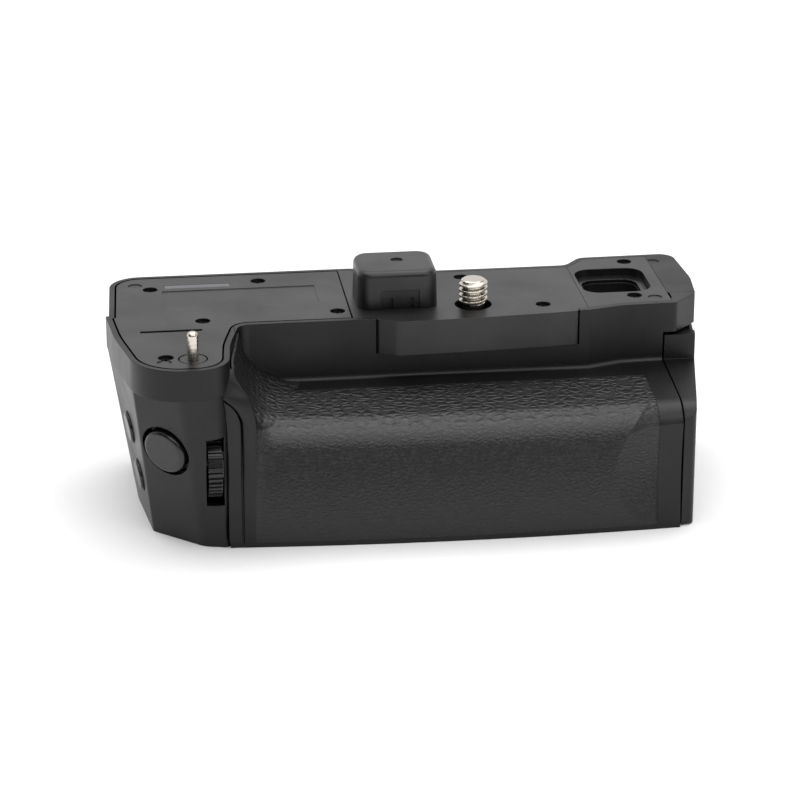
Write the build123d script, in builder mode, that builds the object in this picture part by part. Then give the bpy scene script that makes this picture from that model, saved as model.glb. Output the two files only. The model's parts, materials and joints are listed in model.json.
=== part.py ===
from build123d import *
import os
from math import atan2, cos, degrees, pi, radians, sin

# Battery grip for a mirrorless camera, in millimetres.
# The origin is on the tripod screw's axis, in the plane that the grip stands on.
# +X runs to the battery door, -Y to the leather side, +Z to the camera.
os.makedirs("parts", exist_ok=True)

# Heights of the body
deck_z = 44.0
band_z = 37.0
ledge_z = 30.3
ridge_z = 28.0
block_z = 36.0

# Places of the body's faces and seams
wall_y = -7.0
ridge_y = -28.5
split_y = 2.1
rear_y = 27.5
recess_y = 23.6
seam_x = -54.1
door_x = 42.4
leather_end_x = 37.1
deck_left_x = -27.7
deck_right_x = 25.1
cover_end_x = 44.55
block_left_x = -22.5
block_right_x = 22.8
recess_left_x = -20.0
end_x = 51.9

# Walls and clearances
shell = 1.8
upper_wall = 2.5
rim = 1.3
cover_t = 2.0
base_t = 1.5
leather_t = 0.8
fit_gap = 0.1
move_gap = 0.35
run_gap = 0.05

# Tripod screw, its gear and the fixing wheel
screw_r = 3.175
screw_top = 6.0
spindle_r = 2.6
neck_r = 2.4
thread_low_z = deck_z + 0.3
gear_module = 0.5
screw_teeth = 15
wheel_teeth = 41
gear_t = 2.6
wheel_r = 10.5
wheel_knurls = 48
axle_r = 1.5
socket_depth = 4.6
gear_distance = gear_module * (screw_teeth + wheel_teeth) / 2

# Guide pin
pin_x = -64.2
pin_y = -26.7
pin_r = 1.22
pin_top = 6.2
pin_seat_r = 1.05
pin_shoulder_z = deck_z + 0.2

# Connector and its cap
cap_x = -16.9
cap_y = 6.4
cap_length = 18.0
cap_width = 15.6
cap_height = 8.6
cap_wall = 1.6
plug_length = 11.0
plug_width = 6.4
plug_height = 6.2

# Battery bay, a little larger than the battery
bay_length = 61.5
bay_width = 39.2
bay_height = 20.2
bay_floor_z = 5.0
bay_front_y = -24.6
tray_t = 0.8
roof_t = 0.6
bay_top_z = bay_floor_z + bay_height
bay_back_y = bay_front_y + bay_width
bay_left_x = door_x - 0.4 - bay_length

# Chassis over the bay, the gears on it and the recess behind them
chassis_t = 1.6
chassis_z = bay_top_z + roof_t + fit_gap
chassis_top_z = chassis_z + chassis_t
gear_z = chassis_top_z + 1.5
gear_top_z = gear_z + gear_t
recess_z = gear_top_z + 0.3 + shell
wheel_z = recess_z + 0.5
wheel_top_z = deck_z - cover_t - 1.6

# Battery door
door_gap = 0.35
door_top_z = 36.3
door_wall = 1.6
hinge_x = door_x + 1.9
hinge_y = rear_y - 2.1
hinge_r = 1.7
hinge_pin_r = 0.7

# Controls
shutter_r = 5.2
shutter_hole_r = 6.1
shutter_travel = 0.9
end_button_r = 3.4
end_button_hole_r = 3.75
end_button_travel = 0.6
dial_r = 7.5
dial_t = 3.0
dial_ribs = 36
dial_x = -60.2
dial_z = 18.9
dial_proud = 1.8
dial_axle_r = 1.0
rear_dial_x = -66.0
af_x = -47.0
af_z = 30.0
af_r = 3.6
af_travel = 0.6
stick_x = -47.0
stick_z = 15.0
lever_x = -64.0
lever_z = 34.0
lever_travel = 3.0

# Deck outline: corner points and their radii
deck_points = [
    ((-81.7, split_y), 0.0),
    ((-80.4, -11.5), 70.0),
    ((-75.7, -33.9), 11.5),
    ((-57.0, -33.9), 7.3),
    ((-55.8, -19.0), 40.0),
    ((-53.0, wall_y), 3.0),
    ((deck_right_x, wall_y), 4.0),
    ((33.0, -5.0), 10.0),
    ((45.3, -4.6), 1.5),
    ((50.8, 1.2), 1.5),
    ((end_x, 11.5), 20.0),
    ((50.9, 28.8), 3.5),
    ((29.0, 28.4), 3.0),
    ((deck_right_x, recess_y), 3.0),
    ((recess_left_x, recess_y), 3.0),
    ((recess_left_x - 4.0, rear_y), 3.0),
    ((-79.9, rear_y), 7.0),
    ((-81.0, split_y), 0.0),
]

# Control corner below the band: its outline under the band and at the base
corner_top = [
    ((-81.6, split_y), 0.0),
    ((-77.2, -25.6), 1.2),
    ((-67.2, -33.8), 4.0),
    ((-57.0, -33.8), 7.0),
    ((-56.2, split_y), 0.0),
]
corner_base = [
    ((-75.8, split_y), 0.0),
    ((-73.4, -16.6), 1.2),
    ((-62.8, -26.2), 4.0),
    ((-57.1, -27.6), 1.0),
    ((-56.2, split_y), 0.0),
]

# Rear casing below the deck: its outline under the band and at the base
rear_top = [
    ((-80.4, split_y), 0.0),
    ((door_x, split_y), 0.0),
    ((door_x, rear_y), 0.0),
    ((-79.5, rear_y), 7.0),
]
rear_base = [
    ((-75.0, split_y), 0.0),
    ((door_x, split_y), 0.0),
    ((door_x, rear_y), 0.0),
    ((-74.6, rear_y), 7.0),
]

# Front face of the grip: three points of its gentle bulge
front_arc = [(-60.0, -27.5), (-4.0, -30.3), (52.0, -28.4)]
strip_left_x = -57.1
shelf_slope = (ledge_z - ridge_z) / (wall_y - ridge_y)
front_limit_y = -40.0
ridge_fillet = 6.0
ledge_fillet = 1.0

# Finger scoop at the door end: a shallow ball-shaped hollow in the front face
scoop_x = 45.9
scoop_z = 14.0
scoop_depth = 1.6
scoop_half = 18.1
scoop_r = (scoop_half ** 2 + scoop_depth ** 2) / (2 * scoop_depth)
scoop_bottom_y = front_arc[1][1] + 0.6 + scoop_depth

# Battery door: its outline seen from above
door_rear_y = hinge_y + 1.0
door_corners = [
    ((door_x + door_gap, -28.4), 0.0),
    ((45.5, -27.8), 1.5),
    ((50.0, -3.6), 20.0),
    ((end_x, 11.0), 20.0),
    ((51.2, door_rear_y), 3.5),
    ((door_x + door_gap, door_rear_y), 0.0),
]


def keep(piece, name):
    """Labels a finished piece and writes it to its own file."""
    piece.label = name
    export_step(piece, f"parts/{name}.step")


def outline(corners, inset=0.0):
    """Closed face through rounded corners, drawn in by inset."""
    with BuildSketch() as face:
        with BuildLine():
            FilletPolyline(*[p for p, r in corners], radius=[r for p, r in corners], close=True)
        make_face()
        if inset:
            offset(amount=-inset, kind=Kind.INTERSECTION)
    return face.sketch


def window(x0, x1, y0, y1):
    """Rectangle between two corners."""
    with BuildSketch() as face:
        with Locations(((x0 + x1) / 2, (y0 + y1) / 2)):
            Rectangle(x1 - x0, y1 - y0)
    return face.sketch


def slab(plan, z0, z1):
    """Plan extruded between two heights."""
    with BuildPart() as body:
        with BuildSketch(Plane.XY.offset(z0)):
            add(plan)
        extrude(amount=z1 - z0)
    return body.part


def block(x0, x1, y0, y1, z0, z1):
    """Box between two corners."""
    return slab(window(x0, x1, y0, y1), z0, z1)


def opened(corners, inset):
    """Corners with the sides on the split plane moved out by twice the inset, so that a hollow runs on."""
    return [((x, y + 2 * inset) if abs(y - split_y) < 1e-6 else (x, y), r) for (x, y), r in corners]


def opened_front(corners, inset):
    """The same for the rear hollow, which also runs out through the door end."""
    return [
        (
            (x + 2 * inset if abs(x - door_x) < 1e-6 else x, y - 2 * inset if abs(y - split_y) < 1e-6 else y),
            r,
        )
        for (x, y), r in corners
    ]


def ruled(top, base, z_top, inset=0.0):
    """Body with straight sides from a base outline to a top outline."""
    with BuildPart() as body:
        with BuildSketch(Plane.XY):
            add(outline(base, inset))
        with BuildSketch(Plane.XY.offset(z_top)):
            add(outline(top, inset))
        loft(ruled=True)
    return body.part


def deck_region(x0, x1, y0, y1, inset=0.0):
    """Part of the deck outline between two corners."""
    with BuildSketch() as face:
        add(outline(deck_points, inset))
        add(window(x0, x1, y0, y1), mode=Mode.INTERSECT)
    return face.sketch


def grip_form(x0, x1, inset=0.0, low=0.0):
    """Grip between two stations: bulged front face, rounded ridge and falling shelf."""
    far_z = ledge_z + shelf_slope * (front_limit_y - wall_y)
    near_z = ledge_z + shelf_slope * (split_y + inset - wall_y)
    with BuildPart() as form:
        with BuildSketch(Plane.XY.offset(low)):
            with BuildLine():
                ThreePointArc(*[(x, y + inset) for x, y in front_arc])
                Polyline(
                    (front_arc[2][0], front_arc[2][1] + inset),
                    (front_arc[2][0], split_y + inset),
                    (front_arc[0][0], split_y + inset),
                    (front_arc[0][0], front_arc[0][1] + inset),
                )
            make_face()
        extrude(amount=near_z - low)
        with BuildSketch(Plane.YZ.offset(x0)):
            with BuildLine():
                Polyline(
                    (front_limit_y, low - 1.0),
                    (front_limit_y, far_z - inset),
                    (split_y + inset, near_z - inset),
                    (split_y + inset, low - 1.0),
                    close=True,
                )
            make_face()
        extrude(amount=x1 - x0, mode=Mode.INTERSECT)
        ridge = form.edges().filter_by(lambda e: abs(e.center().Y - ridge_y) < 4.0)
        ridge = ridge.filter_by(lambda e: abs(e.center().Z - ridge_z + inset) < 2.0 and e.length > 1.5)
        ridge = ridge.filter_by(lambda e: abs(e.tangent_at(0.5).X) > 0.9)
        fillet(ridge, radius=max(ridge_fillet - inset, 0.5))
    return form.part


def corner_form(inset=0.0, top_inset=0.0):
    """Control corner with its band, and the plain strip beside the grip."""
    with BuildPart() as form:
        add(ruled(opened(corner_top, inset), opened(corner_base, inset), band_z, inset))
        add(grip_form(strip_left_x, seam_x + inset, inset + leather_t * (inset > 0)))
        add(
            slab(
                deck_region(-58.5, seam_x + inset, -29.0, split_y + inset, top_inset),
                ledge_z - 5.0,
                band_z,
            ),
        )
        add(slab(deck_region(-90.0, seam_x + inset, -40.0, split_y + inset, top_inset), band_z, deck_z))
    return form.part


def rear_form(inset=0.0, top_inset=0.0):
    """Rear half of the body, with the recess that bares the fixing wheel."""
    front = split_y - 2 * inset
    with BuildPart() as form:
        add(ruled(opened_front(rear_top, inset), opened_front(rear_base, inset), band_z, inset))
        recess = block(
            recess_left_x - inset, deck_right_x + 2.0 + inset, recess_y - inset, rear_y + 5.0, recess_z - inset, band_z
        )
        add(recess, mode=Mode.SUBTRACT)
        add(slab(deck_region(-90.0, door_x + inset, front, 40.0, top_inset), band_z, deck_z))
    return form.part


def front_form(inset=0.0, top_inset=0.0):
    """Grip with its finger scoop, and the upright wall behind its shelf."""
    with BuildPart() as form:
        add(grip_form(seam_x - inset, door_x + inset, inset))
        with Locations((scoop_x, scoop_bottom_y - scoop_r, scoop_z)):
            Sphere(scoop_r + inset, mode=Mode.SUBTRACT)
        add(
            slab(
                deck_region(seam_x - inset, door_x + inset, -40.0, split_y + inset, top_inset),
                ledge_z - 5.0,
                deck_z,
            )
        )
        if not inset:
            ledge = form.edges().filter_by(lambda e: abs(e.center().Z - ledge_z) < 0.6)
            ledge = ledge.filter_by(
                lambda e: -2.0 < e.center().Y - wall_y < 3.0 and abs(e.tangent_at(0.5).X) > 0.5
            )
            fillet(ledge, radius=ledge_fillet)
    return form.part


def facet(u, v):
    """Frame on the corner's outer facet, u along it from the end and v up it, facing out."""
    low_a, low_b = Vector(*corner_base[1][0], 0.0), Vector(*corner_base[2][0], 0.0)
    high_a, high_b = Vector(*corner_top[1][0], band_z), Vector(*corner_top[2][0], band_z)
    left = low_a + (high_a - low_a) * v
    right = low_b + (high_b - low_b) * v
    across = right - left
    upward = (high_a + (high_b - high_a) * u) - (low_a + (low_b - low_a) * u)
    return Plane(origin=left + across * u, x_dir=across, z_dir=across.cross(upward))


def end_facet(u, v):
    """Frame on the end face, u along it from the split to the facet and v up it, facing out."""
    low_a, low_b = Vector(*corner_base[0][0], 0.0), Vector(*corner_base[1][0], 0.0)
    high_a, high_b = Vector(*corner_top[0][0], band_z), Vector(*corner_top[1][0], band_z)
    left = low_a + (high_a - low_a) * v
    right = low_b + (high_b - low_b) * v
    across = right - left
    upward = (high_a + (high_b - high_a) * u) - (low_a + (low_b - low_a) * u)
    return Plane(origin=left + across * u, x_dir=across, z_dir=across.cross(upward))


def rod(frame, radius, low, high):
    """Cylinder along a frame's normal, between two distances from its origin."""
    with BuildPart() as body:
        with BuildSketch(frame.offset(low)):
            Circle(radius)
        extrude(amount=high - low)
    return body.part


def upright(x, y, radius, low, high):
    """Cylinder along Z."""
    return rod(Plane(origin=(x, y, 0)), radius, low, high)


def crossways(x, y, z, radius, length):
    """Cylinder along X, centred on a point."""
    return rod(Plane(origin=(x, y, z), z_dir=(1, 0, 0)), radius, -length / 2, length / 2)


def toothed(teeth, radius_root, radius_tip, root_share, tip_share, phase):
    """Toothed outline with straight flanks; each share is of one pitch."""
    points = []
    for tooth in range(teeth):
        middle = phase + 2 * pi * tooth / teeth
        for radius, share in (
            (radius_root, -root_share),
            (radius_tip, -tip_share),
            (radius_tip, tip_share),
            (radius_root, root_share),
        ):
            angle = middle + share * pi / teeth
            points.append((radius * cos(angle), radius * sin(angle)))
    with BuildSketch() as face:
        with BuildLine():
            Polyline(*points, close=True)
        make_face()
    return face.sketch


def tile(frame, u0, u1, v0, v1, low, high):
    """Box on a frame, between two corners and two distances from it."""
    with BuildPart() as body:
        with BuildSketch(frame.offset(low)):
            with Locations(((u0 + u1) / 2, (v0 + v1) / 2)):
                Rectangle(u1 - u0, v1 - v0)
        extrude(amount=high - low)
    return body.part


def rounded(x0, x1, y0, y1, radius, z0, z1):
    """Box between two corners, with its upright edges rounded."""
    with BuildPart() as body:
        with BuildSketch(Plane.XY.offset(z0)):
            with Locations(((x0 + x1) / 2, (y0 + y1) / 2)):
                RectangleRounded(x1 - x0, y1 - y0, radius)
        extrude(amount=z1 - z0)
    return body.part


def gear(x, y, z0, z1, teeth, phase):
    """Spur gear blank with its teeth, standing on z0."""
    pitch_r = gear_module * teeth / 2
    face = toothed(teeth, pitch_r - 1.25 * gear_module, pitch_r + 0.9 * gear_module, 0.62, 0.24, phase)
    with BuildPart() as body:
        with BuildSketch(Plane.XY.offset(z0)):
            with Locations((x, y)):
                add(face)
        extrude(amount=z1 - z0)
    return body.part


# Screws: sunk in the deck, and up through the base plate into posts
deck_screws_left = [(-71.1, 18.4), (-60.6, -3.5), (-69.9, -25.4), (-46.4, 21.5), (-30.5, -0.8)]
deck_screws_middle = [(-0.1, 18.4), (15.5, -2.0)]
deck_screws_right = [(39.0, 24.4), (36.9, 1.3)]
deck_marks = [(-74.4, 21.2), (-70.4, -28.4)]
overhang_mark = (45.5, 23.6)
mark_r = 1.65
screw_head_r = 1.55
screw_well_r = 1.7
screw_well_depth = 1.3
screw_shank_r = 0.95
deck_screw_end_z = 40.9
post_r = 2.6
post_top_z = 9.0
base_head_r = 2.0
base_well_depth = 0.9
rear_post_y = rear_y - shell - base_head_r - 0.4
posts_corner = [(-70.0, -6.0)]
posts_front = [(-48.0, -23.6), (-26.0, -25.0)]
posts_rear = [(-67.0, rear_post_y), (-26.0, rear_post_y), (10.0, rear_post_y), (37.0, rear_post_y)]


def posts(places):
    """Screw posts that stand on the base plate, joined."""
    with BuildPart() as body:
        for x, y in places:
            add(upright(x, y, post_r, base_t, post_top_z))
    return body.part


def post_holes(places):
    """Blind holes in the screw posts."""
    with BuildPart() as body:
        for x, y in places:
            add(upright(x, y, screw_shank_r + 0.02, base_t - 1.0, post_top_z - 1.5))
    return body.part


def deck_holes(places):
    """Stepped holes for the deck's screws."""
    with BuildPart() as body:
        for x, y in places:
            add(upright(x, y, screw_well_r, deck_z - screw_well_depth, deck_z + 1.0))
            add(upright(x, y, screw_shank_r + 0.05, deck_screw_end_z - 1.0, deck_z))
    return body.part


# Hollows of the three casings, joined, for what lies inside them
pocket = slab(deck_region(-90.0, cover_end_x + 0.05, -40.0, 40.0, rim), deck_z - cover_t, deck_z + 1.0)
end_hollow = slab(deck_region(door_x - 2.0, 48.0, -2.0, 24.0, upper_wall), band_z + shell, deck_z - cover_t)
middle_step = block(
    block_left_x - fit_gap, block_right_x + fit_gap, -12.0, wall_y + upper_wall + fit_gap, block_z - fit_gap, deck_z + 1.0
)

# Control housing: the moulded corner under the front controls
shutter_frame = facet(0.505, 0.624)
upper_button_frame = end_facet(0.52, 0.61)
lower_button_frame = end_facet(0.66, 0.32)
window_left_x = dial_x - 1.95
window_right_x = dial_x + 1.95
dial_y = -29.8 - dial_proud + dial_r
board_depth = 6.1
with BuildPart() as button_bosses:
    for v in (-9.2, 9.2):
        add(tile(shutter_frame, -1.4, 1.4, v - 1.2, v + 1.2, -board_depth, -1.2))
    add(tile(upper_button_frame, -1.4, 1.4, 5.6, 7.6, -board_depth, -1.2))
    add(tile(lower_button_frame, 5.0, 7.0, -1.4, 1.4, -board_depth, -1.2))

with BuildPart() as control_housing:
    add(corner_form())
    add(corner_form(shell, upper_wall), mode=Mode.SUBTRACT)
    add(block(-60.0, seam_x + 1.0, -24.8, split_y + 1.0, -1.0, 23.4), mode=Mode.SUBTRACT)
    add(block(-60.0, strip_left_x - 0.3, -27.0, -20.0, dial_z - 4.5, dial_z + 4.5), mode=Mode.SUBTRACT)
    add(posts(posts_corner))
    for x, y in posts_corner:
        add(block(x - 4.2, x, y - 0.6, y + 0.6, base_t, post_top_z))
    add(button_bosses.part)
    add(post_holes(posts_corner), mode=Mode.SUBTRACT)
    add(pocket, mode=Mode.SUBTRACT)
    add(block(-90.0, -50.0, split_y - fit_gap / 2, 40.0, -1.0, 50.0), mode=Mode.SUBTRACT)
    add(block(seam_x - fit_gap / 2, -40.0, -45.0, 40.0, -1.0, 50.0), mode=Mode.SUBTRACT)
    add(block(-90.0, -40.0, -45.0, 40.0, -5.0, 0.0), mode=Mode.SUBTRACT)
    add(rod(shutter_frame, shutter_hole_r, -4.0, 6.0), mode=Mode.SUBTRACT)
    add(rod(upper_button_frame, end_button_hole_r, -4.0, 4.0), mode=Mode.SUBTRACT)
    add(rod(lower_button_frame, end_button_hole_r, -4.0, 4.0), mode=Mode.SUBTRACT)
    add(
        block(window_left_x, window_right_x, -40.0, dial_y, dial_z - dial_r - 0.75, dial_z + dial_r + 0.75),
        mode=Mode.SUBTRACT,
    )
keep(control_housing.part, "control_housing")

# Front shell: grip and upper wall, with the overhang above the door
leather_front_y = -12.0
leather_low_z = 1.2
leather_zone = block(seam_x + fit_gap, leather_end_x, -45.0, leather_front_y, leather_low_z, ledge_z + 2.0)
overhang = slab(deck_region(door_x - 1.0, 60.0, -40.0, 60.0), band_z, deck_z)

with BuildPart() as leather_core:
    add(front_form())
    add(front_form(leather_t, leather_t), mode=Mode.SUBTRACT)
    add(leather_zone, mode=Mode.INTERSECT)

with BuildPart() as front_shell:
    add(front_form())
    add(overhang)
    add(leather_core.part, mode=Mode.SUBTRACT)
    add(front_form(shell + leather_t, upper_wall), mode=Mode.SUBTRACT)
    add(posts(posts_front))
    add(post_holes(posts_front), mode=Mode.SUBTRACT)
    add(pocket, mode=Mode.SUBTRACT)
    add(end_hollow, mode=Mode.SUBTRACT)
    add(middle_step, mode=Mode.SUBTRACT)
    add(block(-90.0, 60.0, split_y - fit_gap / 2, 60.0, -1.0, 50.0), mode=Mode.SUBTRACT)
    add(block(-90.0, seam_x + fit_gap / 2, -45.0, 60.0, -1.0, 50.0), mode=Mode.SUBTRACT)
    add(block(-90.0, 60.0, -45.0, 60.0, -5.0, 0.0), mode=Mode.SUBTRACT)
keep(front_shell.part, "front_shell")

with BuildPart() as front_leather:
    add(leather_core.part)
    add(block(seam_x, seam_x + 2 * fit_gap, -45.0, 0.0, -1.0, 50.0), mode=Mode.SUBTRACT)
keep(front_leather.part, "front_leather")

# Rear shell: back of the body, with windows for its controls
rear_wall_y = rear_y - shell
rear_dial_y = rear_y + dial_proud - dial_r
lever_slot_t = 2.6
af_hole_r = af_r + 0.25
stick_hole_r = 5.4
wheel_window_half = 8.2
dial_window_half = dial_t / 2 + 0.45
rest_x0 = -38.0
rest_x1 = -24.5
rest_z0 = 6.0
rest_z1 = 28.0
rest_t = 1.6
rest_sunk = 0.8
rear_board_y = rear_wall_y - 4.9
board_bosses = [(-72.0, 34.5), (-56.0, 13.0), (-42.4, 34.6), (-42.2, 10.6)]
knuckle_height = 6.3
knuckle_starts = [2.5, door_top_z - 2.6 - knuckle_height]
with BuildPart() as knuckles:
    for low in knuckle_starts:
        add(upright(hinge_x, hinge_y, hinge_r, low, low + knuckle_height))
        add(block(door_x - 2.0, hinge_x, hinge_y + 0.4, hinge_y + hinge_r, low, low + knuckle_height))

with BuildPart() as rear_shell:
    add(rear_form())
    add(overhang)
    add(rear_form(shell, upper_wall), mode=Mode.SUBTRACT)
    add(posts(posts_rear))
    add(post_holes(posts_rear), mode=Mode.SUBTRACT)
    for x, z in board_bosses:
        add(
            rod(
                Plane(origin=(x, rear_board_y, z), z_dir=(0, 1, 0)),
                1.6,
                0.0,
                rear_wall_y - rear_board_y + 0.5,
            ),
        )
    add(knuckles.part)
    add(pocket, mode=Mode.SUBTRACT)
    add(end_hollow, mode=Mode.SUBTRACT)
    add(block(-90.0, 60.0, -60.0, split_y + fit_gap / 2, -1.0, 50.0), mode=Mode.SUBTRACT)
    add(block(-90.0, 60.0, -45.0, 60.0, -5.0, 0.0), mode=Mode.SUBTRACT)
    add(upright(hinge_x, hinge_y, hinge_pin_r + 0.02, -1.0, door_top_z), mode=Mode.SUBTRACT)
    add(
        block(
            rear_dial_x - dial_window_half, rear_dial_x + dial_window_half, rear_dial_y, 40.0, dial_z - dial_r - 0.75, dial_z + dial_r + 0.75
        ),
        mode=Mode.SUBTRACT,
    )
    add(rod(Plane(origin=(af_x, rear_y, af_z), z_dir=(0, 1, 0)), af_hole_r, -4.0, 4.0), mode=Mode.SUBTRACT)
    add(
        rod(Plane(origin=(stick_x, rear_y, stick_z), z_dir=(0, 1, 0)), stick_hole_r, -4.0, 4.0),
        mode=Mode.SUBTRACT,
    )
    add(
        block(
            lever_x - lever_travel / 2 - 1.6, lever_x + lever_travel / 2 + 1.6, rear_wall_y - 1.0, rear_y + 1.0,
            lever_z - lever_slot_t / 2, lever_z + lever_slot_t / 2,
        ),
        mode=Mode.SUBTRACT,
    )
    add(block(rest_x0, rest_x1, rear_y - rest_sunk, 40.0, rest_z0, rest_z1), mode=Mode.SUBTRACT)
    add(
        block(-wheel_window_half, wheel_window_half, recess_y - 4.0, recess_y + 1.0, wheel_z - 0.3, wheel_top_z + 0.5),
        mode=Mode.SUBTRACT,
    )
    add(upright(*overhang_mark, mark_r, deck_z - 0.2, deck_z + 1.0), mode=Mode.SUBTRACT)
keep(rear_shell.part, "rear_shell")

# Rubber thumb rest, half sunk in the rear shell
with BuildPart() as thumb_rest:
    add(
        block(
            rest_x0 + 0.2, rest_x1 - 0.2, rear_y - rest_sunk, rear_y + rest_t - rest_sunk,
            rest_z0 + 0.2, rest_z1 - 0.2,
        ),
    )
    fillet(thumb_rest.edges().filter_by(Axis.Y), radius=2.0)
    fillet(thumb_rest.faces().sort_by(Axis.Y)[-1].edges(), radius=0.5)
keep(thumb_rest.part, "thumb_rest")

# Base plate inside the skirts of the casings, its rubber pad and the tripod socket
pad_t = 0.5
pad_length = 58.0
pad_width = 22.0
socket_r = 5.0
socket_flange_r = 7.2
socket_flange_t = 0.9
with BuildPart() as corner_inside:
    add(corner_form(shell + fit_gap, upper_wall + fit_gap))
    add(block(-95.0, seam_x, -60.0, split_y, 0.0, deck_z), mode=Mode.INTERSECT)
with BuildPart() as front_inside:
    add(front_form(shell + leather_t + fit_gap, upper_wall + fit_gap))
    add(block(seam_x, door_x - fit_gap, -60.0, split_y, 0.0, deck_z), mode=Mode.INTERSECT)
with BuildPart() as rear_inside:
    add(rear_form(shell + fit_gap, upper_wall + fit_gap))
    add(block(-95.0, door_x - fit_gap, split_y, 60.0, 0.0, deck_z), mode=Mode.INTERSECT)
bridge_front_y = -24.4
with BuildPart() as base_inside:
    add(corner_inside.part)
    add(block(-60.5, seam_x + 2.0, bridge_front_y, split_y, 0.0, base_t))
    add(front_inside.part)
    add(rear_inside.part)
    add(block(-95.0, door_x - fit_gap, -60.0, 60.0, 0.0, base_t), mode=Mode.INTERSECT)
all_posts = posts_corner + posts_front + posts_rear
with BuildPart() as base_plate:
    add(base_inside.part)
    for x, y in all_posts:
        add(upright(x, y, screw_shank_r + 0.1, -1.0, base_t + 1.0), mode=Mode.SUBTRACT)
        add(upright(x, y, base_head_r + 0.1, -1.0, base_well_depth), mode=Mode.SUBTRACT)
    add(upright(0.0, 0.0, socket_r + fit_gap, -1.0, base_t + 1.0), mode=Mode.SUBTRACT)
    add(
        block(-pad_length / 2, pad_length / 2, -pad_width / 2, pad_width / 2, -1.0, pad_t),
        mode=Mode.SUBTRACT,
    )
keep(base_plate.part, "base_plate")

with BuildPart() as base_pad:
    add(
        block(
            -pad_length / 2 + 0.2, pad_length / 2 - 0.2, -pad_width / 2 + 0.2, pad_width / 2 - 0.2, 0.0, pad_t
        )
    )
    fillet(base_pad.edges().filter_by(Axis.Z), radius=2.0)
    add(upright(0.0, 0.0, socket_r + 0.4, -1.0, 2.0), mode=Mode.SUBTRACT)
keep(base_pad.part, "base_pad")

with BuildPart() as tripod_socket:
    add(upright(0.0, 0.0, socket_r, 0.0, socket_depth))
    add(upright(0.0, 0.0, socket_flange_r, base_t, base_t + socket_flange_t))
    add(upright(0.0, 0.0, screw_r, -1.0, socket_depth + 1.0), mode=Mode.SUBTRACT)
keep(tripod_socket.part, "tripod_socket")

with BuildPart() as base_screws:
    for x, y in all_posts:
        add(upright(x, y, base_head_r, 0.1, base_well_depth))
        add(upright(x, y, screw_shank_r, base_well_depth, post_top_z - 2.0))
        add(block(x - 1.1, x + 1.1, y - 0.25, y + 0.25, -0.5, 0.5), mode=Mode.SUBTRACT)
        add(block(x - 0.25, x + 0.25, y - 1.1, y + 1.1, -0.5, 0.5), mode=Mode.SUBTRACT)
keep(base_screws.part, "base_screws")

# Deck covers
cover_gap = 0.05
boss_r = 1.6
cover_low_z = deck_z - cover_t


def screw_bosses(places):
    """Bosses under a deck cover, joined."""
    with BuildPart() as body:
        for x, y in places:
            add(upright(x, y, boss_r, deck_screw_end_z, cover_low_z))
    return body.part


collar_r = 2.87
collar_t = 1.55
pin_low_z = 40.5
label_x0 = -68.5
label_x1 = -34.0
label_y0 = 5.4
label_y1 = 17.05
nameplate_x0 = -67.9
nameplate_x1 = -52.9
nameplate_y0 = 18.7
nameplate_y1 = 20.8
with BuildPart() as top_cover_left:
    add(slab(deck_region(-90.0, deck_left_x - cover_gap, -40.0, 40.0, rim + fit_gap), cover_low_z, deck_z))
    add(screw_bosses(deck_screws_left))
    add(deck_holes(deck_screws_left), mode=Mode.SUBTRACT)
    for x, y in deck_marks:
        add(upright(x, y, 1.65, deck_z - 0.2, deck_z + 1.0), mode=Mode.SUBTRACT)
    add(upright(pin_x, pin_y, collar_r + 0.33, deck_z - 1.6, deck_z + 1.0), mode=Mode.SUBTRACT)
    add(upright(pin_x, pin_y, pin_seat_r + 0.02, cover_low_z - 1.0, deck_z), mode=Mode.SUBTRACT)
    add(block(-74.6, -61.1, -9.7, -8.5, deck_z - 0.8, deck_z + 1.0), mode=Mode.SUBTRACT)
    add(block(label_x0, label_x1, label_y0, label_y1, deck_z - 0.15, deck_z + 1.0), mode=Mode.SUBTRACT)
    add(
        block(nameplate_x0, nameplate_x1, nameplate_y0, nameplate_y1, deck_z - 0.3, deck_z + 1.0),
        mode=Mode.SUBTRACT,
    )
keep(top_cover_left.part, "top_cover_left")

with BuildPart() as nameplate:
    add(
        block(
            nameplate_x0 + fit_gap, nameplate_x1 - fit_gap, nameplate_y0 + fit_gap, nameplate_y1 - fit_gap,
            deck_z - 0.3, deck_z - 0.02,
        )
    )
keep(nameplate.part, "nameplate")

# Front face of the centre deck's step, seen from above
step_corners = [
    ((block_left_x, wall_y + upper_wall), 0.0),
    ((block_left_x, wall_y - 0.4), 1.0),
    ((-18.0, -9.6), 3.0),
    ((-1.0, -9.0), 120.0),
    ((17.0, -7.9), 3.0),
    ((block_right_x, wall_y - 0.2), 1.0),
    ((block_right_x, wall_y + upper_wall), 0.0),
]
with BuildPart() as centre_deck:
    add(
        slab(
            deck_region(deck_left_x + cover_gap, deck_right_x - cover_gap, -40.0, 40.0, rim + fit_gap),
            cover_low_z,
            deck_z,
        )
    )
    add(slab(outline(step_corners), block_z, deck_z))
    add(screw_bosses(deck_screws_middle))
    add(deck_holes(deck_screws_middle), mode=Mode.SUBTRACT)
    add(upright(0.0, 0.0, screw_r + 1.0, cover_low_z - 1.0, deck_z + 1.0), mode=Mode.SUBTRACT)
    add(
        block(
            cap_x - plug_length / 2 - 0.5, cap_x + plug_length / 2 + 0.5,
            cap_y - plug_width / 2 - 0.5, cap_y + plug_width / 2 + 0.5, cover_low_z - 1.0, deck_z + 1.0,
        ),
        mode=Mode.SUBTRACT,
    )
keep(centre_deck.part, "centre_deck")

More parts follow.
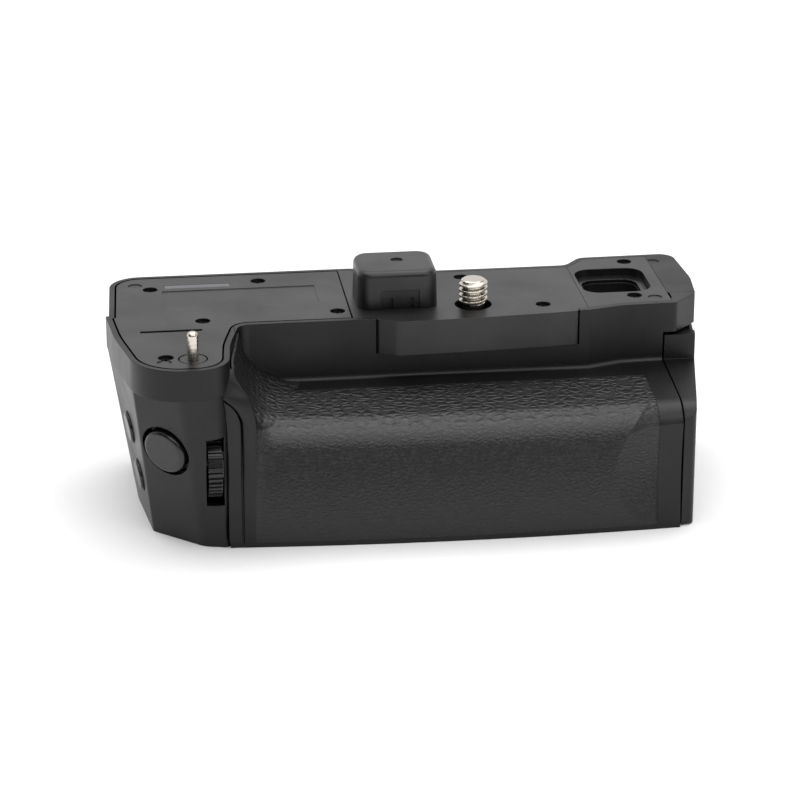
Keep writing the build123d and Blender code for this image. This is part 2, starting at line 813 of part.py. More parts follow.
# Right deck cover with the well that holds the connector cap while the grip is on the camera
well_x0 = 25.9
well_x1 = 41.8
well_y0 = 3.8
well_y1 = 20.0
well_z = 41.6
well_inner_z = 38.5
well_wall = 0.8
with BuildPart() as top_cover_right:
    add(
        slab(
            deck_region(deck_right_x + cover_gap, cover_end_x - cover_gap, -40.0, 40.0, rim + fit_gap),
            cover_low_z,
            deck_z,
        )
    )
    add(
        rounded(
            well_x0 - 0.6, well_x1 + 0.6, well_y0 - 0.6, well_y1 + 0.6, 4.0, well_z - well_wall, deck_z,
        ),
    )
    add(rounded(well_x0 + 0.5, well_x1 - 1.2, 4.7, 17.6, 3.8, well_inner_z - well_wall, cover_low_z))
    add(screw_bosses(deck_screws_right))
    add(rounded(well_x0, well_x1, well_y0, well_y1, 4.0, well_z, deck_z + 1.0), mode=Mode.SUBTRACT)
    add(
        rounded(well_x0 + 1.3, well_x1 - 2.0, 5.5, 16.8, 3.4, well_inner_z, deck_z),
        mode=Mode.SUBTRACT,
    )
    add(deck_holes(deck_screws_right), mode=Mode.SUBTRACT)
    add(upright(41.2, -0.6, 1.65, deck_z - 0.2, deck_z + 1.0), mode=Mode.SUBTRACT)
keep(top_cover_right.part, "top_cover_right")

with BuildPart() as cap_holder_seal:
    add(rounded(well_x0 + 0.1, well_x1 - 0.1, well_y0 + 0.1, well_y1 - 0.1, 3.9, well_z, well_z + 0.8))
    add(
        rounded(well_x0 + 1.2, well_x1 - 1.9, 5.4, 16.9, 3.5, well_z - 1.0, deck_z),
        mode=Mode.SUBTRACT,
    )
keep(cap_holder_seal.part, "cap_holder_seal")

# Guide pin and its collar
with BuildPart() as guide_pin:
    add(upright(pin_x, pin_y, pin_seat_r, pin_low_z, pin_shoulder_z))
    add(upright(pin_x, pin_y, pin_r, pin_shoulder_z, deck_z + pin_top))
    fillet(guide_pin.edges().sort_by(Axis.Z)[-1], radius=pin_r * 0.8)
keep(guide_pin.part, "guide_pin")

with BuildPart() as guide_pin_collar:
    add(upright(pin_x, pin_y, collar_r, deck_z - 1.6, deck_z - 1.6 + collar_t))
    add(upright(pin_x, pin_y, pin_seat_r + 0.02, deck_z - 3.0, deck_z + 1.0), mode=Mode.SUBTRACT)
keep(guide_pin_collar.part, "guide_pin_collar")

with BuildPart() as top_screws:
    for x, y in deck_screws_left + deck_screws_middle + deck_screws_right:
        head_z = deck_z - screw_well_depth
        add(upright(x, y, screw_head_r, head_z, head_z + 0.7))
        add(upright(x, y, screw_shank_r, deck_screw_end_z, head_z))
        add(block(x - 0.9, x + 0.9, y - 0.2, y + 0.2, head_z + 0.3, head_z + 1.0), mode=Mode.SUBTRACT)
        add(block(x - 0.2, x + 0.2, y - 0.9, y + 0.9, head_z + 0.3, head_z + 1.0), mode=Mode.SUBTRACT)
keep(top_screws.part, "top_screws")

# Connector, its contact strips and the cap that covers it
strip_count = 8
strip_pitch = 1.15
strip_width = 0.5
strip_t = 0.15
with BuildPart() as connector_contacts:
    for i in range(strip_count):
        x = cap_x + (i - (strip_count - 1) / 2) * strip_pitch
        for y in (cap_y - plug_width / 2, cap_y + plug_width / 2 - strip_t):
            add(
                block(
                    x - strip_width / 2, x + strip_width / 2, y, y + strip_t, deck_z + 0.8,
                    deck_z + plug_height - 0.9,
                ),
            )
keep(connector_contacts.part, "connector_contacts")

flange_z = wheel_top_z + 0.4
with BuildPart() as connector_block:
    add(
        rounded(
            cap_x - plug_length / 2, cap_x + plug_length / 2, cap_y - plug_width / 2, cap_y + plug_width / 2, 0.8,
            flange_z, deck_z + plug_height,
        )
    )
    add(
        block(
            cap_x - plug_length / 2 - 2.0, cap_x + plug_length / 2 + 2.0,
            cap_y - plug_width / 2 - 1.8, cap_y + plug_width / 2 + 1.8, flange_z, cover_low_z,
        )
    )
    add(connector_contacts.part, mode=Mode.SUBTRACT)
keep(connector_block.part, "connector_block")

cap_low_z = deck_z + run_gap
cap_front_y = cap_y - cap_width / 2
with BuildPart() as connector_cap:
    with BuildSketch(Plane.XY.offset(cap_low_z)):
        with Locations((cap_x, cap_y)):
            RectangleRounded(cap_length, cap_width, 3.5)
    extrude(amount=cap_height, taper=1.5)
    fillet(connector_cap.faces().sort_by(Axis.Z)[-1].edges(), radius=1.4)
    add(
        rounded(
            cap_x - cap_length / 2 + cap_wall, cap_x + cap_length / 2 - cap_wall,
            cap_y - cap_width / 2 + cap_wall, cap_y + cap_width / 2 - cap_wall, 2.2, cap_low_z - 1.0,
            cap_low_z + cap_height - cap_wall,
        ),
        mode=Mode.SUBTRACT,
    )
    for side in (-1, 1):
        grip_x = cap_x + side * (plug_length / 2 + fit_gap)
        wall_x = cap_x + side * (cap_length / 2 - cap_wall + 0.4)
        add(
            block(
                min(grip_x, wall_x),
                max(grip_x, wall_x),
                cap_y - 1.0,
                cap_y + 1.0,
                cap_low_z + 2.0,
                cap_low_z + 7.5,
            ),
        )
        grip_y = cap_y + side * (plug_width / 2 + fit_gap)
        far_y = cap_y + side * (cap_width / 2 - cap_wall + 0.4)
        add(
            block(
                cap_x - 0.25,
                cap_x + 0.25,
                min(grip_y, far_y),
                max(grip_y, far_y),
                cap_low_z + 2.0,
                cap_low_z + 7.5,
            ),
        )
    add(
        block(
            cap_x - 3.9, cap_x + 4.7, cap_front_y - 1.0, cap_front_y + 0.5, cap_low_z - 1.0,
            cap_low_z + 4.2,
        ),
        mode=Mode.SUBTRACT,
    )
    for x in (cap_x - 1.6, cap_x + 3.0):
        add(
            block(
                x - 0.35, x + 0.35, cap_front_y - 1.0, cap_front_y + 1.0, cap_low_z - 1.0,
                cap_low_z + 2.4,
            ),
            mode=Mode.SUBTRACT,
        )
    add(
        upright(cap_x + 0.6, cap_y + 0.9, 1.4, cap_low_z + cap_height - 0.35, deck_z + 20.0),
        mode=Mode.SUBTRACT,
    )
keep(connector_cap.part, "connector_cap")

# Chassis, the tripod screw in its bush, and the fixing wheel that turns it
legs_x = [-12.0, 11.0, 33.0]
leg_front_y = 17.8
leg_back_y = 20.5
bush_r = 4.0
bush_flange_r = 4.35
bush_flange_t = 0.8
hub_z = chassis_top_z + bush_flange_t + run_gap
with BuildPart() as chassis:
    add(block(-19.0, 39.0, wall_y + upper_wall + 0.3, leg_back_y, chassis_z, chassis_top_z))
    for x in legs_x:
        add(block(x - 3.0, x + 3.0, leg_front_y, leg_back_y, base_t, chassis_z))
    add(upright(0.0, 0.0, bush_r + 0.02, chassis_z - 1.0, chassis_top_z + 1.0), mode=Mode.SUBTRACT)
    add(
        upright(0.0, gear_distance, axle_r + 0.02, chassis_z - 1.0, chassis_top_z + 1.0),
        mode=Mode.SUBTRACT,
    )
keep(chassis.part, "chassis")

with BuildPart() as screw_bush:
    add(upright(0.0, 0.0, bush_r, chassis_z, chassis_top_z))
    add(upright(0.0, 0.0, bush_flange_r, chassis_top_z, chassis_top_z + bush_flange_t))
    add(upright(0.0, 0.0, spindle_r + run_gap, chassis_z - 1.0, gear_z), mode=Mode.SUBTRACT)
keep(screw_bush.part, "screw_bush")

with BuildPart() as screw_gear:
    add(gear(0.0, 0.0, gear_z, gear_top_z, screw_teeth, pi / 2))
    add(upright(0.0, 0.0, spindle_r + 0.5, hub_z, gear_z))
    add(upright(0.0, 0.0, spindle_r + 0.01, hub_z - 1.0, gear_top_z + 1.0), mode=Mode.SUBTRACT)
keep(screw_gear.part, "screw_gear")

with BuildPart() as tripod_screw:
    add(upright(0.0, 0.0, spindle_r, chassis_z + 0.2, gear_top_z + 0.2))
    add(upright(0.0, 0.0, screw_r + 0.9, gear_top_z, gear_top_z + 1.0))
    add(upright(0.0, 0.0, neck_r, gear_top_z + 1.0, thread_low_z))
    add(upright(0.0, 0.0, screw_r, thread_low_z, deck_z + screw_top))
    chamfer(tripod_screw.edges().sort_by(Axis.Z)[-1], length=0.5)
keep(tripod_screw.part, "tripod_screw")

axle_shoulder_z = gear_z - run_gap
with BuildPart() as wheel_axle:
    add(upright(0.0, gear_distance, axle_r, chassis_z, cover_low_z))
    add(upright(0.0, gear_distance, axle_r + 1.3, chassis_top_z, axle_shoulder_z))
keep(wheel_axle.part, "wheel_axle")

with BuildPart() as fixing_wheel:
    with BuildSketch(Plane.XY.offset(wheel_z)):
        with Locations((0.0, gear_distance)):
            add(toothed(wheel_knurls, wheel_r - 0.45, wheel_r, 0.7, 0.3, 0.0))
    extrude(amount=wheel_top_z - wheel_z)
    add(gear(0.0, gear_distance, gear_z, gear_top_z, wheel_teeth, -pi / 2 + pi / wheel_teeth))
    add(upright(0.0, gear_distance, 5.0, gear_top_z, wheel_z))
    add(upright(0.0, gear_distance, axle_r + run_gap, gear_z - 1.0, wheel_top_z + 1.0), mode=Mode.SUBTRACT)
    add(
        upright(0.0, gear_distance, wheel_r - 2.6, wheel_top_z - 2.0, wheel_top_z + 1.0),
        mode=Mode.SUBTRACT,
    )
    add(upright(0.0, gear_distance, 3.4, wheel_z, wheel_top_z))
    add(upright(0.0, gear_distance, axle_r + run_gap, gear_z - 1.0, wheel_top_z + 1.0), mode=Mode.SUBTRACT)
keep(fixing_wheel.part, "fixing_wheel")

# Battery tray with the mouth that the door covers
flange_x = door_x - 1.5
flange_top_z = 34.4
catch_y0 = 13.2
catch_y1 = 19.0
catch_z0 = 12.0
catch_z1 = 18.0
catch_t = 0.7
catch_travel = 2.5
contact_y0 = -10.0
contact_y1 = 6.0
contact_z0 = 8.0
contact_z1 = 16.0
tray_feet_x = (-15.0, 35.0)
tray_feet_y = (-20.0, 11.0)
catch_notch = block(
    door_x - 0.1 - catch_t - 0.1, door_x + 1.0, bay_back_y - 1.5, catch_y1 + catch_travel + 0.5,
    catch_z0 - 0.1, catch_z1 + 0.1,
)
with BuildPart() as bay_walls:
    with BuildSketch(Plane.YZ.offset(bay_left_x - tray_t)):
        with Locations(
            ((bay_front_y + bay_back_y) / 2, (bay_floor_z + bay_top_z) / 2 + (roof_t - tray_t) / 2)
        ):
            RectangleRounded(bay_width + 2 * tray_t, bay_height + tray_t + roof_t, 2.0)
    extrude(amount=door_x - fit_gap - bay_left_x + tray_t)
with BuildPart() as bay_room:
    with BuildSketch(Plane.YZ.offset(bay_left_x)):
        with Locations(((bay_front_y + bay_back_y) / 2, (bay_floor_z + bay_top_z) / 2)):
            RectangleRounded(bay_width, bay_height, 1.5)
    extrude(amount=door_x + 5.0 - bay_left_x)
with BuildPart() as battery_tray:
    add(bay_walls.part)
    add(block(flange_x, door_x + 1.0, -60.0, 60.0, 0.0, deck_z), mode=Mode.SUBTRACT)
    add(block(-40.0, flange_x, -40.0, -16.0, 22.0, 40.0), mode=Mode.SUBTRACT)
    for x in tray_feet_x:
        for y in tray_feet_y:
            add(block(x - 2.0, x + 2.0, y - 2.0, y + 2.0, base_t, bay_floor_z - tray_t))
    add(bay_room.part, mode=Mode.SUBTRACT)
    add(upright(0.0, 0.0, socket_r + fit_gap, base_t, bay_floor_z + 1.0), mode=Mode.SUBTRACT)
    add(
        block(bay_left_x - 2.0, bay_left_x + 1.0, contact_y0 + 1.0, contact_y1 - 1.0, contact_z0, contact_z1),
        mode=Mode.SUBTRACT,
    )
    add(catch_notch, mode=Mode.SUBTRACT)
keep(battery_tray.part, "battery_tray")

with BuildPart() as bay_frame:
    add(front_inside.part)
    add(rear_inside.part)
    add(block(flange_x, door_x - fit_gap, -60.0, 60.0, base_t, flange_top_z), mode=Mode.INTERSECT)
    add(bay_room.part, mode=Mode.SUBTRACT)
    add(catch_notch, mode=Mode.SUBTRACT)
keep(bay_frame.part, "bay_frame")

blade_count = 5
blade_pitch = 2.6
blade_t = 0.6
with BuildPart() as battery_contacts:
    for i in range(blade_count):
        y = (contact_y0 + contact_y1) / 2 + (i - (blade_count - 1) / 2) * blade_pitch
        add(
            block(
                bay_left_x - 3.2, bay_left_x + 1.2, y - blade_t / 2, y + blade_t / 2, contact_z0 + 1.5,
                contact_z1 - 1.5,
            ),
        )
keep(battery_contacts.part, "battery_contacts")

with BuildPart() as contact_block:
    add(
        block(
            bay_left_x - tray_t - 4.0, bay_left_x - tray_t, contact_y0, contact_y1, base_t,
            contact_z1 + 2.0,
        ),
    )
    add(battery_contacts.part, mode=Mode.SUBTRACT)
keep(contact_block.part, "contact_block")

with BuildPart() as battery_catch:
    add(block(door_x - 0.15 - catch_t, door_x - 0.15, catch_y0, catch_y1, catch_z0, catch_z1))
    for y in (16.4, 17.3, 18.2):
        add(block(door_x - 0.15, door_x - 0.15 + 0.25, y - 0.2, y + 0.2, catch_z0 + 1.0, catch_z1 - 1.0))
keep(battery_catch.part, "battery_catch")


# Battery door: hollow, hinged at the rear edge
def door_form(inset=0.0):
    """Door's solid shape, or its hollow, which runs out through the side that faces the body."""
    corners = [((x - 2 * inset, y) if x < door_x + 1.0 else (x, y), r) for (x, y), r in door_corners]
    with BuildPart() as form:
        add(slab(outline(corners, inset), 0.3 + inset, door_top_z - inset))
        with BuildPart(mode=Mode.PRIVATE) as profile:
            add(grip_form(door_x - 5.0, end_x + 5.0, inset))
            add(block(door_x - 5.0, end_x + 5.0, wall_y + 2.2 + inset, rear_y + 5.0, 0.0, deck_z))
        add(profile.part, mode=Mode.INTERSECT)
    return form.part


latch_x0 = 45.5
latch_x1 = 49.8
latch_y0 = -2.0
latch_y1 = 8.6
latch_z = door_top_z - 1.1
latch_t = 0.8
latch_travel = 3.0
door_knuckle_z0 = knuckle_starts[0] + knuckle_height + 0.4
door_knuckle_z1 = knuckle_starts[1] - 0.4
door_shape = door_form()
door_hollow = door_form(door_wall)
with BuildPart() as door_corner:
    add(
        block(
            door_x, hinge_x + hinge_r + 0.4, hinge_y - hinge_r - 0.4, rear_y + 5.0, -1.0,
            door_top_z + 1.0,
        ),
    )
with BuildPart() as battery_door:
    add(door_shape)
    add(door_hollow, mode=Mode.SUBTRACT)
    with BuildPart(mode=Mode.PRIVATE) as stiffener:
        add(door_shape)
        add(
            block(door_x, latch_x1 + 5.0, latch_y0 - 2.0, latch_y1 + latch_travel + 2.0, door_top_z - 2.9, door_top_z),
            mode=Mode.INTERSECT,
        )
    add(stiffener.part)
    with BuildPart(mode=Mode.PRIVATE) as corner_wall:
        add(door_shape)
        add(
            block(door_x, hinge_x + hinge_r + 0.4 + door_wall, hinge_y - hinge_r - 0.4 - door_wall, rear_y, 0.0, deck_z),
            mode=Mode.INTERSECT,
        )
        add(block(door_x, door_x + 2.6, -60.0, 60.0, -1.0, deck_z), mode=Mode.SUBTRACT)
    add(corner_wall.part)
    add(door_corner.part, mode=Mode.SUBTRACT)
    add(upright(hinge_x, hinge_y, hinge_r, door_knuckle_z0, door_knuckle_z1))
    add(
        block(
            hinge_x - 0.2, hinge_x + hinge_r + 1.2, hinge_y - hinge_r + 0.2, hinge_y + 0.4,
            door_knuckle_z0, door_knuckle_z1,
        )
    )
    add(upright(hinge_x, hinge_y, hinge_pin_r + run_gap, -1.0, deck_z), mode=Mode.SUBTRACT)
    add(
        block(latch_x0 - 0.1, end_x + 5.0, latch_y0 - 0.1, latch_y1 + latch_travel + 0.1, latch_z - 0.1, deck_z),
        mode=Mode.SUBTRACT,
    )
    add(block(door_x, latch_x0, 2.9, 6.1 + latch_travel, latch_z - 0.1, deck_z), mode=Mode.SUBTRACT)
keep(battery_door.part, "battery_door")

with BuildPart() as door_latch:
    add(block(latch_x0, latch_x1, latch_y0, latch_y1, latch_z, latch_z + latch_t))
    add(block(door_x - 0.6, latch_x0, 3.0, 6.0, latch_z, latch_z + latch_t))
    add(block(latch_x0 + 1.4, latch_x1, 1.0, 5.6, latch_z + latch_t, latch_z + latch_t + 0.6))
keep(door_latch.part, "door_latch")

lid_x = door_x + 1.2
with BuildPart() as lid_shape:
    add(door_form(door_wall + fit_gap))
    add(
        block(
            lid_x, lid_x + 1.2, -60.0, hinge_y - hinge_r - 0.4 - door_wall - fit_gap, 0.0,
            door_top_z - 3.0,
        ),
        mode=Mode.INTERSECT,
    )
with BuildPart() as door_plate:
    add(lid_shape.part)
keep(door_plate.part, "door_plate")

seal_y0 = bay_front_y + 1.6
seal_y1 = 20.0
with BuildPart() as door_seal:
    add(block(lid_x - 0.5, lid_x, seal_y0, seal_y1, bay_floor_z - 1.6, bay_top_z - 0.6))
    add(
        block(
            lid_x - 1.0, lid_x + 1.0, seal_y0 + 1.2, seal_y1 - 1.2, bay_floor_z - 0.4, bay_top_z - 1.8,
        ),
        mode=Mode.SUBTRACT,
    )
keep(door_seal.part, "door_seal")

with BuildPart() as door_pin:
    add(upright(hinge_x, hinge_y, hinge_pin_r, knuckle_starts[0], knuckle_starts[1] + knuckle_height))
keep(door_pin.part, "door_pin")


# Front controls
def button(frame, radius, flange_u, flange_v, proud, crown):
    """Round push button with a retaining flange behind the wall."""
    with BuildPart() as body:
        add(rod(frame, radius, -2.2, proud))
        fillet(
            body.edges().filter_by(
                lambda e: (e.center() - frame.origin).dot(frame.z_dir) > proud - 0.1
            ),
            radius=crown,
        )
        add(tile(frame, -flange_u, flange_u, -flange_v, flange_v, -2.9, -2.2))
    return body.part


shutter_button = button(shutter_frame, shutter_r, shutter_r - 0.4, shutter_hole_r + 1.2, 1.0, 0.9)
keep(shutter_button, "shutter_button")
end_button_upper = button(upper_button_frame, end_button_r, end_button_hole_r + 0.8, end_button_r, 0.7, 0.5)
keep(end_button_upper, "end_button_upper")
end_button_lower = button(lower_button_frame, end_button_r, end_button_hole_r + 0.8, end_button_r, 0.7, 0.5)
keep(end_button_lower, "end_button_lower")

with BuildPart() as shutter_board:
    add(tile(shutter_frame, -2.6, 2.4, -10.4, 10.4, -board_depth - 1.0, -board_depth))
keep(shutter_board.part, "shutter_board")
with BuildPart() as end_board:
    add(tile(upper_button_frame, -4.0, 8.8, -13.2, 7.8, -board_depth - 1.0, -board_depth))
keep(end_board.part, "end_board")


def ribbed_wheel(x, y, z):
    """Ribbed dial on an axis along X."""
    side = Plane(origin=(x - dial_t / 2, y, z), x_dir=(0, 1, 0), z_dir=(1, 0, 0))
    with BuildPart() as body:
        with BuildSketch(side):
            add(toothed(dial_ribs, dial_r - 0.55, dial_r, 0.62, 0.3, 0.0))
        extrude(amount=dial_t)
        add(crossways(x, y, z, dial_axle_r + run_gap, dial_t + 2.0), mode=Mode.SUBTRACT)
    return body.part


cheek_in = dial_t / 2 + move_gap
cheek_out = cheek_in + 0.8
front_dial = ribbed_wheel(dial_x, dial_y, dial_z)
keep(front_dial, "front_dial")
dial_back_y = dial_y + dial_r + 1.0
with BuildPart() as front_dial_bracket:
    for side in (-1, 1):
        low = dial_x + min(side * cheek_in, side * cheek_out)
        add(block(low, low + 0.8, dial_y - 1.6, dial_back_y + 1.2, dial_z - 3.0, dial_z + 3.0))
    add(
        block(
            dial_x - cheek_out, dial_x + cheek_out, dial_back_y, dial_back_y + 1.2, dial_z - 3.0,
            dial_z + 3.0,
        ),
    )
    add(crossways(dial_x, dial_y, dial_z, dial_axle_r, 2 * cheek_out))
keep(front_dial_bracket.part, "front_dial_bracket")
control_board_y = dial_back_y + 1.2
with BuildPart() as control_board:
    add(block(dial_x - 6.0, dial_x + 3.2, control_board_y, control_board_y + 1.2, base_t, dial_z + 4.0))
keep(control_board.part, "control_board")

rear_dial = ribbed_wheel(rear_dial_x, rear_dial_y, dial_z)
keep(rear_dial, "rear_dial")
rear_board_front_y = rear_board_y - 1.2
with BuildPart() as rear_dial_bracket:
    for side in (-1, 1):
        low = rear_dial_x + min(side * cheek_in, side * cheek_out)
        add(block(low, low + 0.8, rear_board_front_y - 1.2, rear_dial_y + 1.6, dial_z - 3.0, dial_z + 3.0))
        far = rear_dial_x + side * 6.0
        near = rear_dial_x + side * cheek_in
        add(
            block(
                min(near, far), max(near, far), rear_board_front_y - 1.2, rear_board_front_y,
                dial_z - 3.0, dial_z + 3.0,
            )
        )
    add(crossways(rear_dial_x, rear_dial_y, dial_z, dial_axle_r, 2 * cheek_out))
keep(rear_dial_bracket.part, "rear_dial_bracket")
with BuildPart() as rear_board:
    add(block(-73.5, -40.5, rear_board_front_y, rear_board_y, post_top_z + 0.6, band_z - 0.5))
    add(
        block(rear_dial_x - 4.0, rear_dial_x + 4.0, 0.0, 40.0, dial_z - 9.0, dial_z + 9.0),
        mode=Mode.SUBTRACT,
    )
keep(rear_board.part, "rear_board")

# Tact switches behind the four push buttons
rear_button_frame = Plane(origin=(af_x, rear_y, af_z), x_dir=(-1, 0, 0), z_dir=(0, 1, 0))
with BuildPart() as button_switches:
    for frame, travel in (
        (shutter_frame, shutter_travel),
        (upper_button_frame, end_button_travel),
        (lower_button_frame, end_button_travel),
    ):
        add(tile(frame, -1.8, 1.8, -2.2, 2.2, -board_depth, -4.6))
        add(rod(frame, 1.1, -4.6, -3.0 - travel))
    add(tile(rear_button_frame, -2.0, 2.0, -2.0, 2.0, rear_board_y - rear_y, -4.2))
    add(rod(rear_button_frame, 1.1, -4.2, -3.0 - af_travel))
keep(button_switches.part, "button_switches")

# Rear controls
af_button = button(rear_button_frame, af_r, af_hole_r + 0.8, af_r - 1.2, 0.8, 0.5)
keep(af_button, "af_button")

lever_rest_x = lever_x - lever_travel / 2
with BuildPart() as lock_lever:
    add(
        block(
            lever_rest_x - 1.5, lever_rest_x + 1.5, rear_wall_y - 0.8, rear_y + 1.6, lever_z - 1.0,
            lever_z + 1.0,
        ),
    )
    add(
        block(
            lever_rest_x - 3.2, lever_rest_x + 3.2, rear_wall_y - 0.8, rear_wall_y - 0.1, lever_z - 2.2, lever_z + 2.2
        )
    )
    add(
        block(
            lever_rest_x - 2.2, lever_rest_x + 2.2, rear_y + 0.15, rear_y + 1.2, lever_z - 1.6,
            lever_z + 1.6,
        ),
    )
keep(lock_lever.part, "lock_lever")

# Joystick: base ring on the board, gimbal ring and cap
pivot_y = rear_board_y + 2.0
ring_half = 0.8
trunnion_r = 0.5
stick_pivot = Plane(origin=(stick_x, pivot_y, stick_z), x_dir=(-1, 0, 0), z_dir=(0, 1, 0))
with BuildPart() as joystick_base:
    add(rod(stick_pivot, 4.7, -2.0, 0.9))
    add(rod(stick_pivot, 3.7, -3.0, 2.0), mode=Mode.SUBTRACT)
    add(crossways(stick_x, pivot_y, stick_z, trunnion_r + run_gap, 12.0), mode=Mode.SUBTRACT)
keep(joystick_base.part, "joystick_base")
with BuildPart() as joystick_gimbal:
    add(rod(stick_pivot, 3.2, -ring_half, ring_half))
    add(crossways(stick_x, pivot_y, stick_z, trunnion_r, 9.2))
    add(rod(stick_pivot, 1.9, -2.0, 2.0), mode=Mode.SUBTRACT)
    add(upright(stick_x, pivot_y, trunnion_r + run_gap, stick_z - 4.0, stick_z + 4.0), mode=Mode.SUBTRACT)
keep(joystick_gimbal.part, "joystick_gimbal")
stick_top = rear_y + 1.65 - pivot_y
with BuildPart() as joystick_cap:
    add(rod(stick_pivot, 1.5, -1.0, stick_top + 0.4))
    add(upright(stick_x, pivot_y, trunnion_r, stick_z - 3.0, stick_z + 3.0))
    add(rod(stick_pivot, 4.2, stick_top, stick_top + 1.3))
    dish = stick_pivot.offset(stick_top + 1.3 + 7.6)
    with Locations(dish.origin):
        Sphere(8.0, mode=Mode.SUBTRACT)
keep(joystick_cap.part, "joystick_cap")

# Main board behind the bay and the flat cable along the base plate
with BuildPart() as main_board:
    add(block(-15.0, 37.0, leg_front_y - 1.2, leg_front_y, base_t, bay_top_z - 1.0))
keep(main_board.part, "main_board")
cable_t = 0.3
cable_end_x = bay_left_x - tray_t - 4.0
with BuildPart() as flex_cable:
    add(block(-52.0, cable_end_x, -6.0, 2.0, base_t, base_t + cable_t))
    add(block(cable_end_x - cable_t, cable_end_x, -6.0, 2.0, base_t, 12.0))
keep(flex_cable.part, "flex_cable")
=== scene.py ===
# %% [markdown]
# Battery grip for a camera, seen from the leather side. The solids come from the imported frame, in metres:
# +X runs to the battery door, -Y is the leather side and +Z is where the camera sits. This notebook gives
# them their finishes, and adds what a solid model doesn't carry well: the screw's thread, the leather that
# sweeps up beside the control corner, and the soft strips on both sides of the corner's seam.

# %% Load the frame
import json
import math

import bpy
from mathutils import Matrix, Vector
from mathutils.bvhtree import BVHTree


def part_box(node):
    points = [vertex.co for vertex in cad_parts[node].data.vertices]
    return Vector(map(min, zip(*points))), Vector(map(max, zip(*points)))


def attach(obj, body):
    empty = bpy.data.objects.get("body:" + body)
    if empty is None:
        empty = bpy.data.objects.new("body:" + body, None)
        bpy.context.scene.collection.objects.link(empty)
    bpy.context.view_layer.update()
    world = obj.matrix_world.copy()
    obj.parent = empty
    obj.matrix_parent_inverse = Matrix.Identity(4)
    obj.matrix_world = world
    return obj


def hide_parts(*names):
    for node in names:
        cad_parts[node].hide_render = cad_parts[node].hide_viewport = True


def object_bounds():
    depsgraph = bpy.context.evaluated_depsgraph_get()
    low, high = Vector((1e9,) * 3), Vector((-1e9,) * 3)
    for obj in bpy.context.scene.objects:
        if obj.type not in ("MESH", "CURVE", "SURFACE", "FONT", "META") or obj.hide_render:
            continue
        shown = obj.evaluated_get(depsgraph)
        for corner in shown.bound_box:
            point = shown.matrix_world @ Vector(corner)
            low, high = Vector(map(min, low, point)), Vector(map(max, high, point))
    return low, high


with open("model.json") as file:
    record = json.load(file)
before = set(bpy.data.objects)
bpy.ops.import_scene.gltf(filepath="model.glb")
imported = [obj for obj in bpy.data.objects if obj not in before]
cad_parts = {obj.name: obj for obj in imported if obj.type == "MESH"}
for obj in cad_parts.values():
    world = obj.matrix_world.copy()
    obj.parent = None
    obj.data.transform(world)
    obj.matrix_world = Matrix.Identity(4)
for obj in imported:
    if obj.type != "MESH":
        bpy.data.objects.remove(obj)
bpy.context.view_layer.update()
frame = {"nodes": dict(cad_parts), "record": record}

# %% [markdown]
# The part was drawn in millimetres and Blender works in metres here, so one value turns one into the other.
# Colours are picked as sRGB hex values, as a paint chart gives them, and shaders want linear light, so one
# function does that step for every finish.

# %% Units and colours
MM = 0.001
CASING_BLACK = 0x090909


def linear(hex_value):
    """Linear RGBA from an sRGB hex value."""
    channels = [((hex_value >> shift) & 255) / 255 for shift in (16, 8, 0)]
    return [c / 12.92 if c <= 0.04045 else ((c + 0.055) / 1.055) ** 2.4 for c in channels] + [1.0]


def toned(rgba, share):
    """The same colour, darker or lighter, and opaque."""
    return [c * share for c in rgba[:3]] + [1.0]


print("casing black in linear light", [round(c, 4) for c in linear(CASING_BLACK)])

# %% [markdown]
# Every finish below is a small node graph. One helper adds a node, sets its inputs and properties, and links
# what is handed to it, so that each graph reads from top to bottom like a recipe.

# %% Add a node
def node(tree, kind, links=(), **settings):
    """Adds a node with its settings and its links.

    A setting is a property, an input's name with _ for a space, or input_N for the input of that number.
    A link is (input, output).
    """
    made = tree.nodes.new(kind)
    for name, value in settings.items():
        if name.startswith("input_"):
            made.inputs[int(name[len("input_"):])].default_value = value
        elif hasattr(made, name):
            setattr(made, name, value)
        else:
            made.inputs[name.replace("_", " ")].default_value = value
    for target, source in links:
        tree.links.new(source, made.inputs[target])
    return made


def empty_tree(owner):
    """Empty node tree of a material or a world."""
    owner.use_nodes = True
    owner.node_tree.nodes.clear()
    return owner.node_tree


print("node helper ready")

# %% [markdown]
# The casings are ABS moulded in a spark-eroded tool, which leaves a fine even grain of about a quarter of a
# millimetre. It scatters light, so black ABS looks dark grey where a soft box reflects in it. A real moulding
# also has a small radius on every edge. The solids have sharp edges, so the Bevel node rounds the shading
# there, which costs no geometry. Gloss also wanders a little over a few centimetres, as handling leaves it.

# %% Moulded plastic
PLASTIC_IOR = 1.53
PATCH_MM = 14.0
GRAIN_LOW, GRAIN_HIGH = 0.25, 0.75
PIT_TINT, PEAK_TINT = 0.82, 1.2
BEVEL_SAMPLES = 4


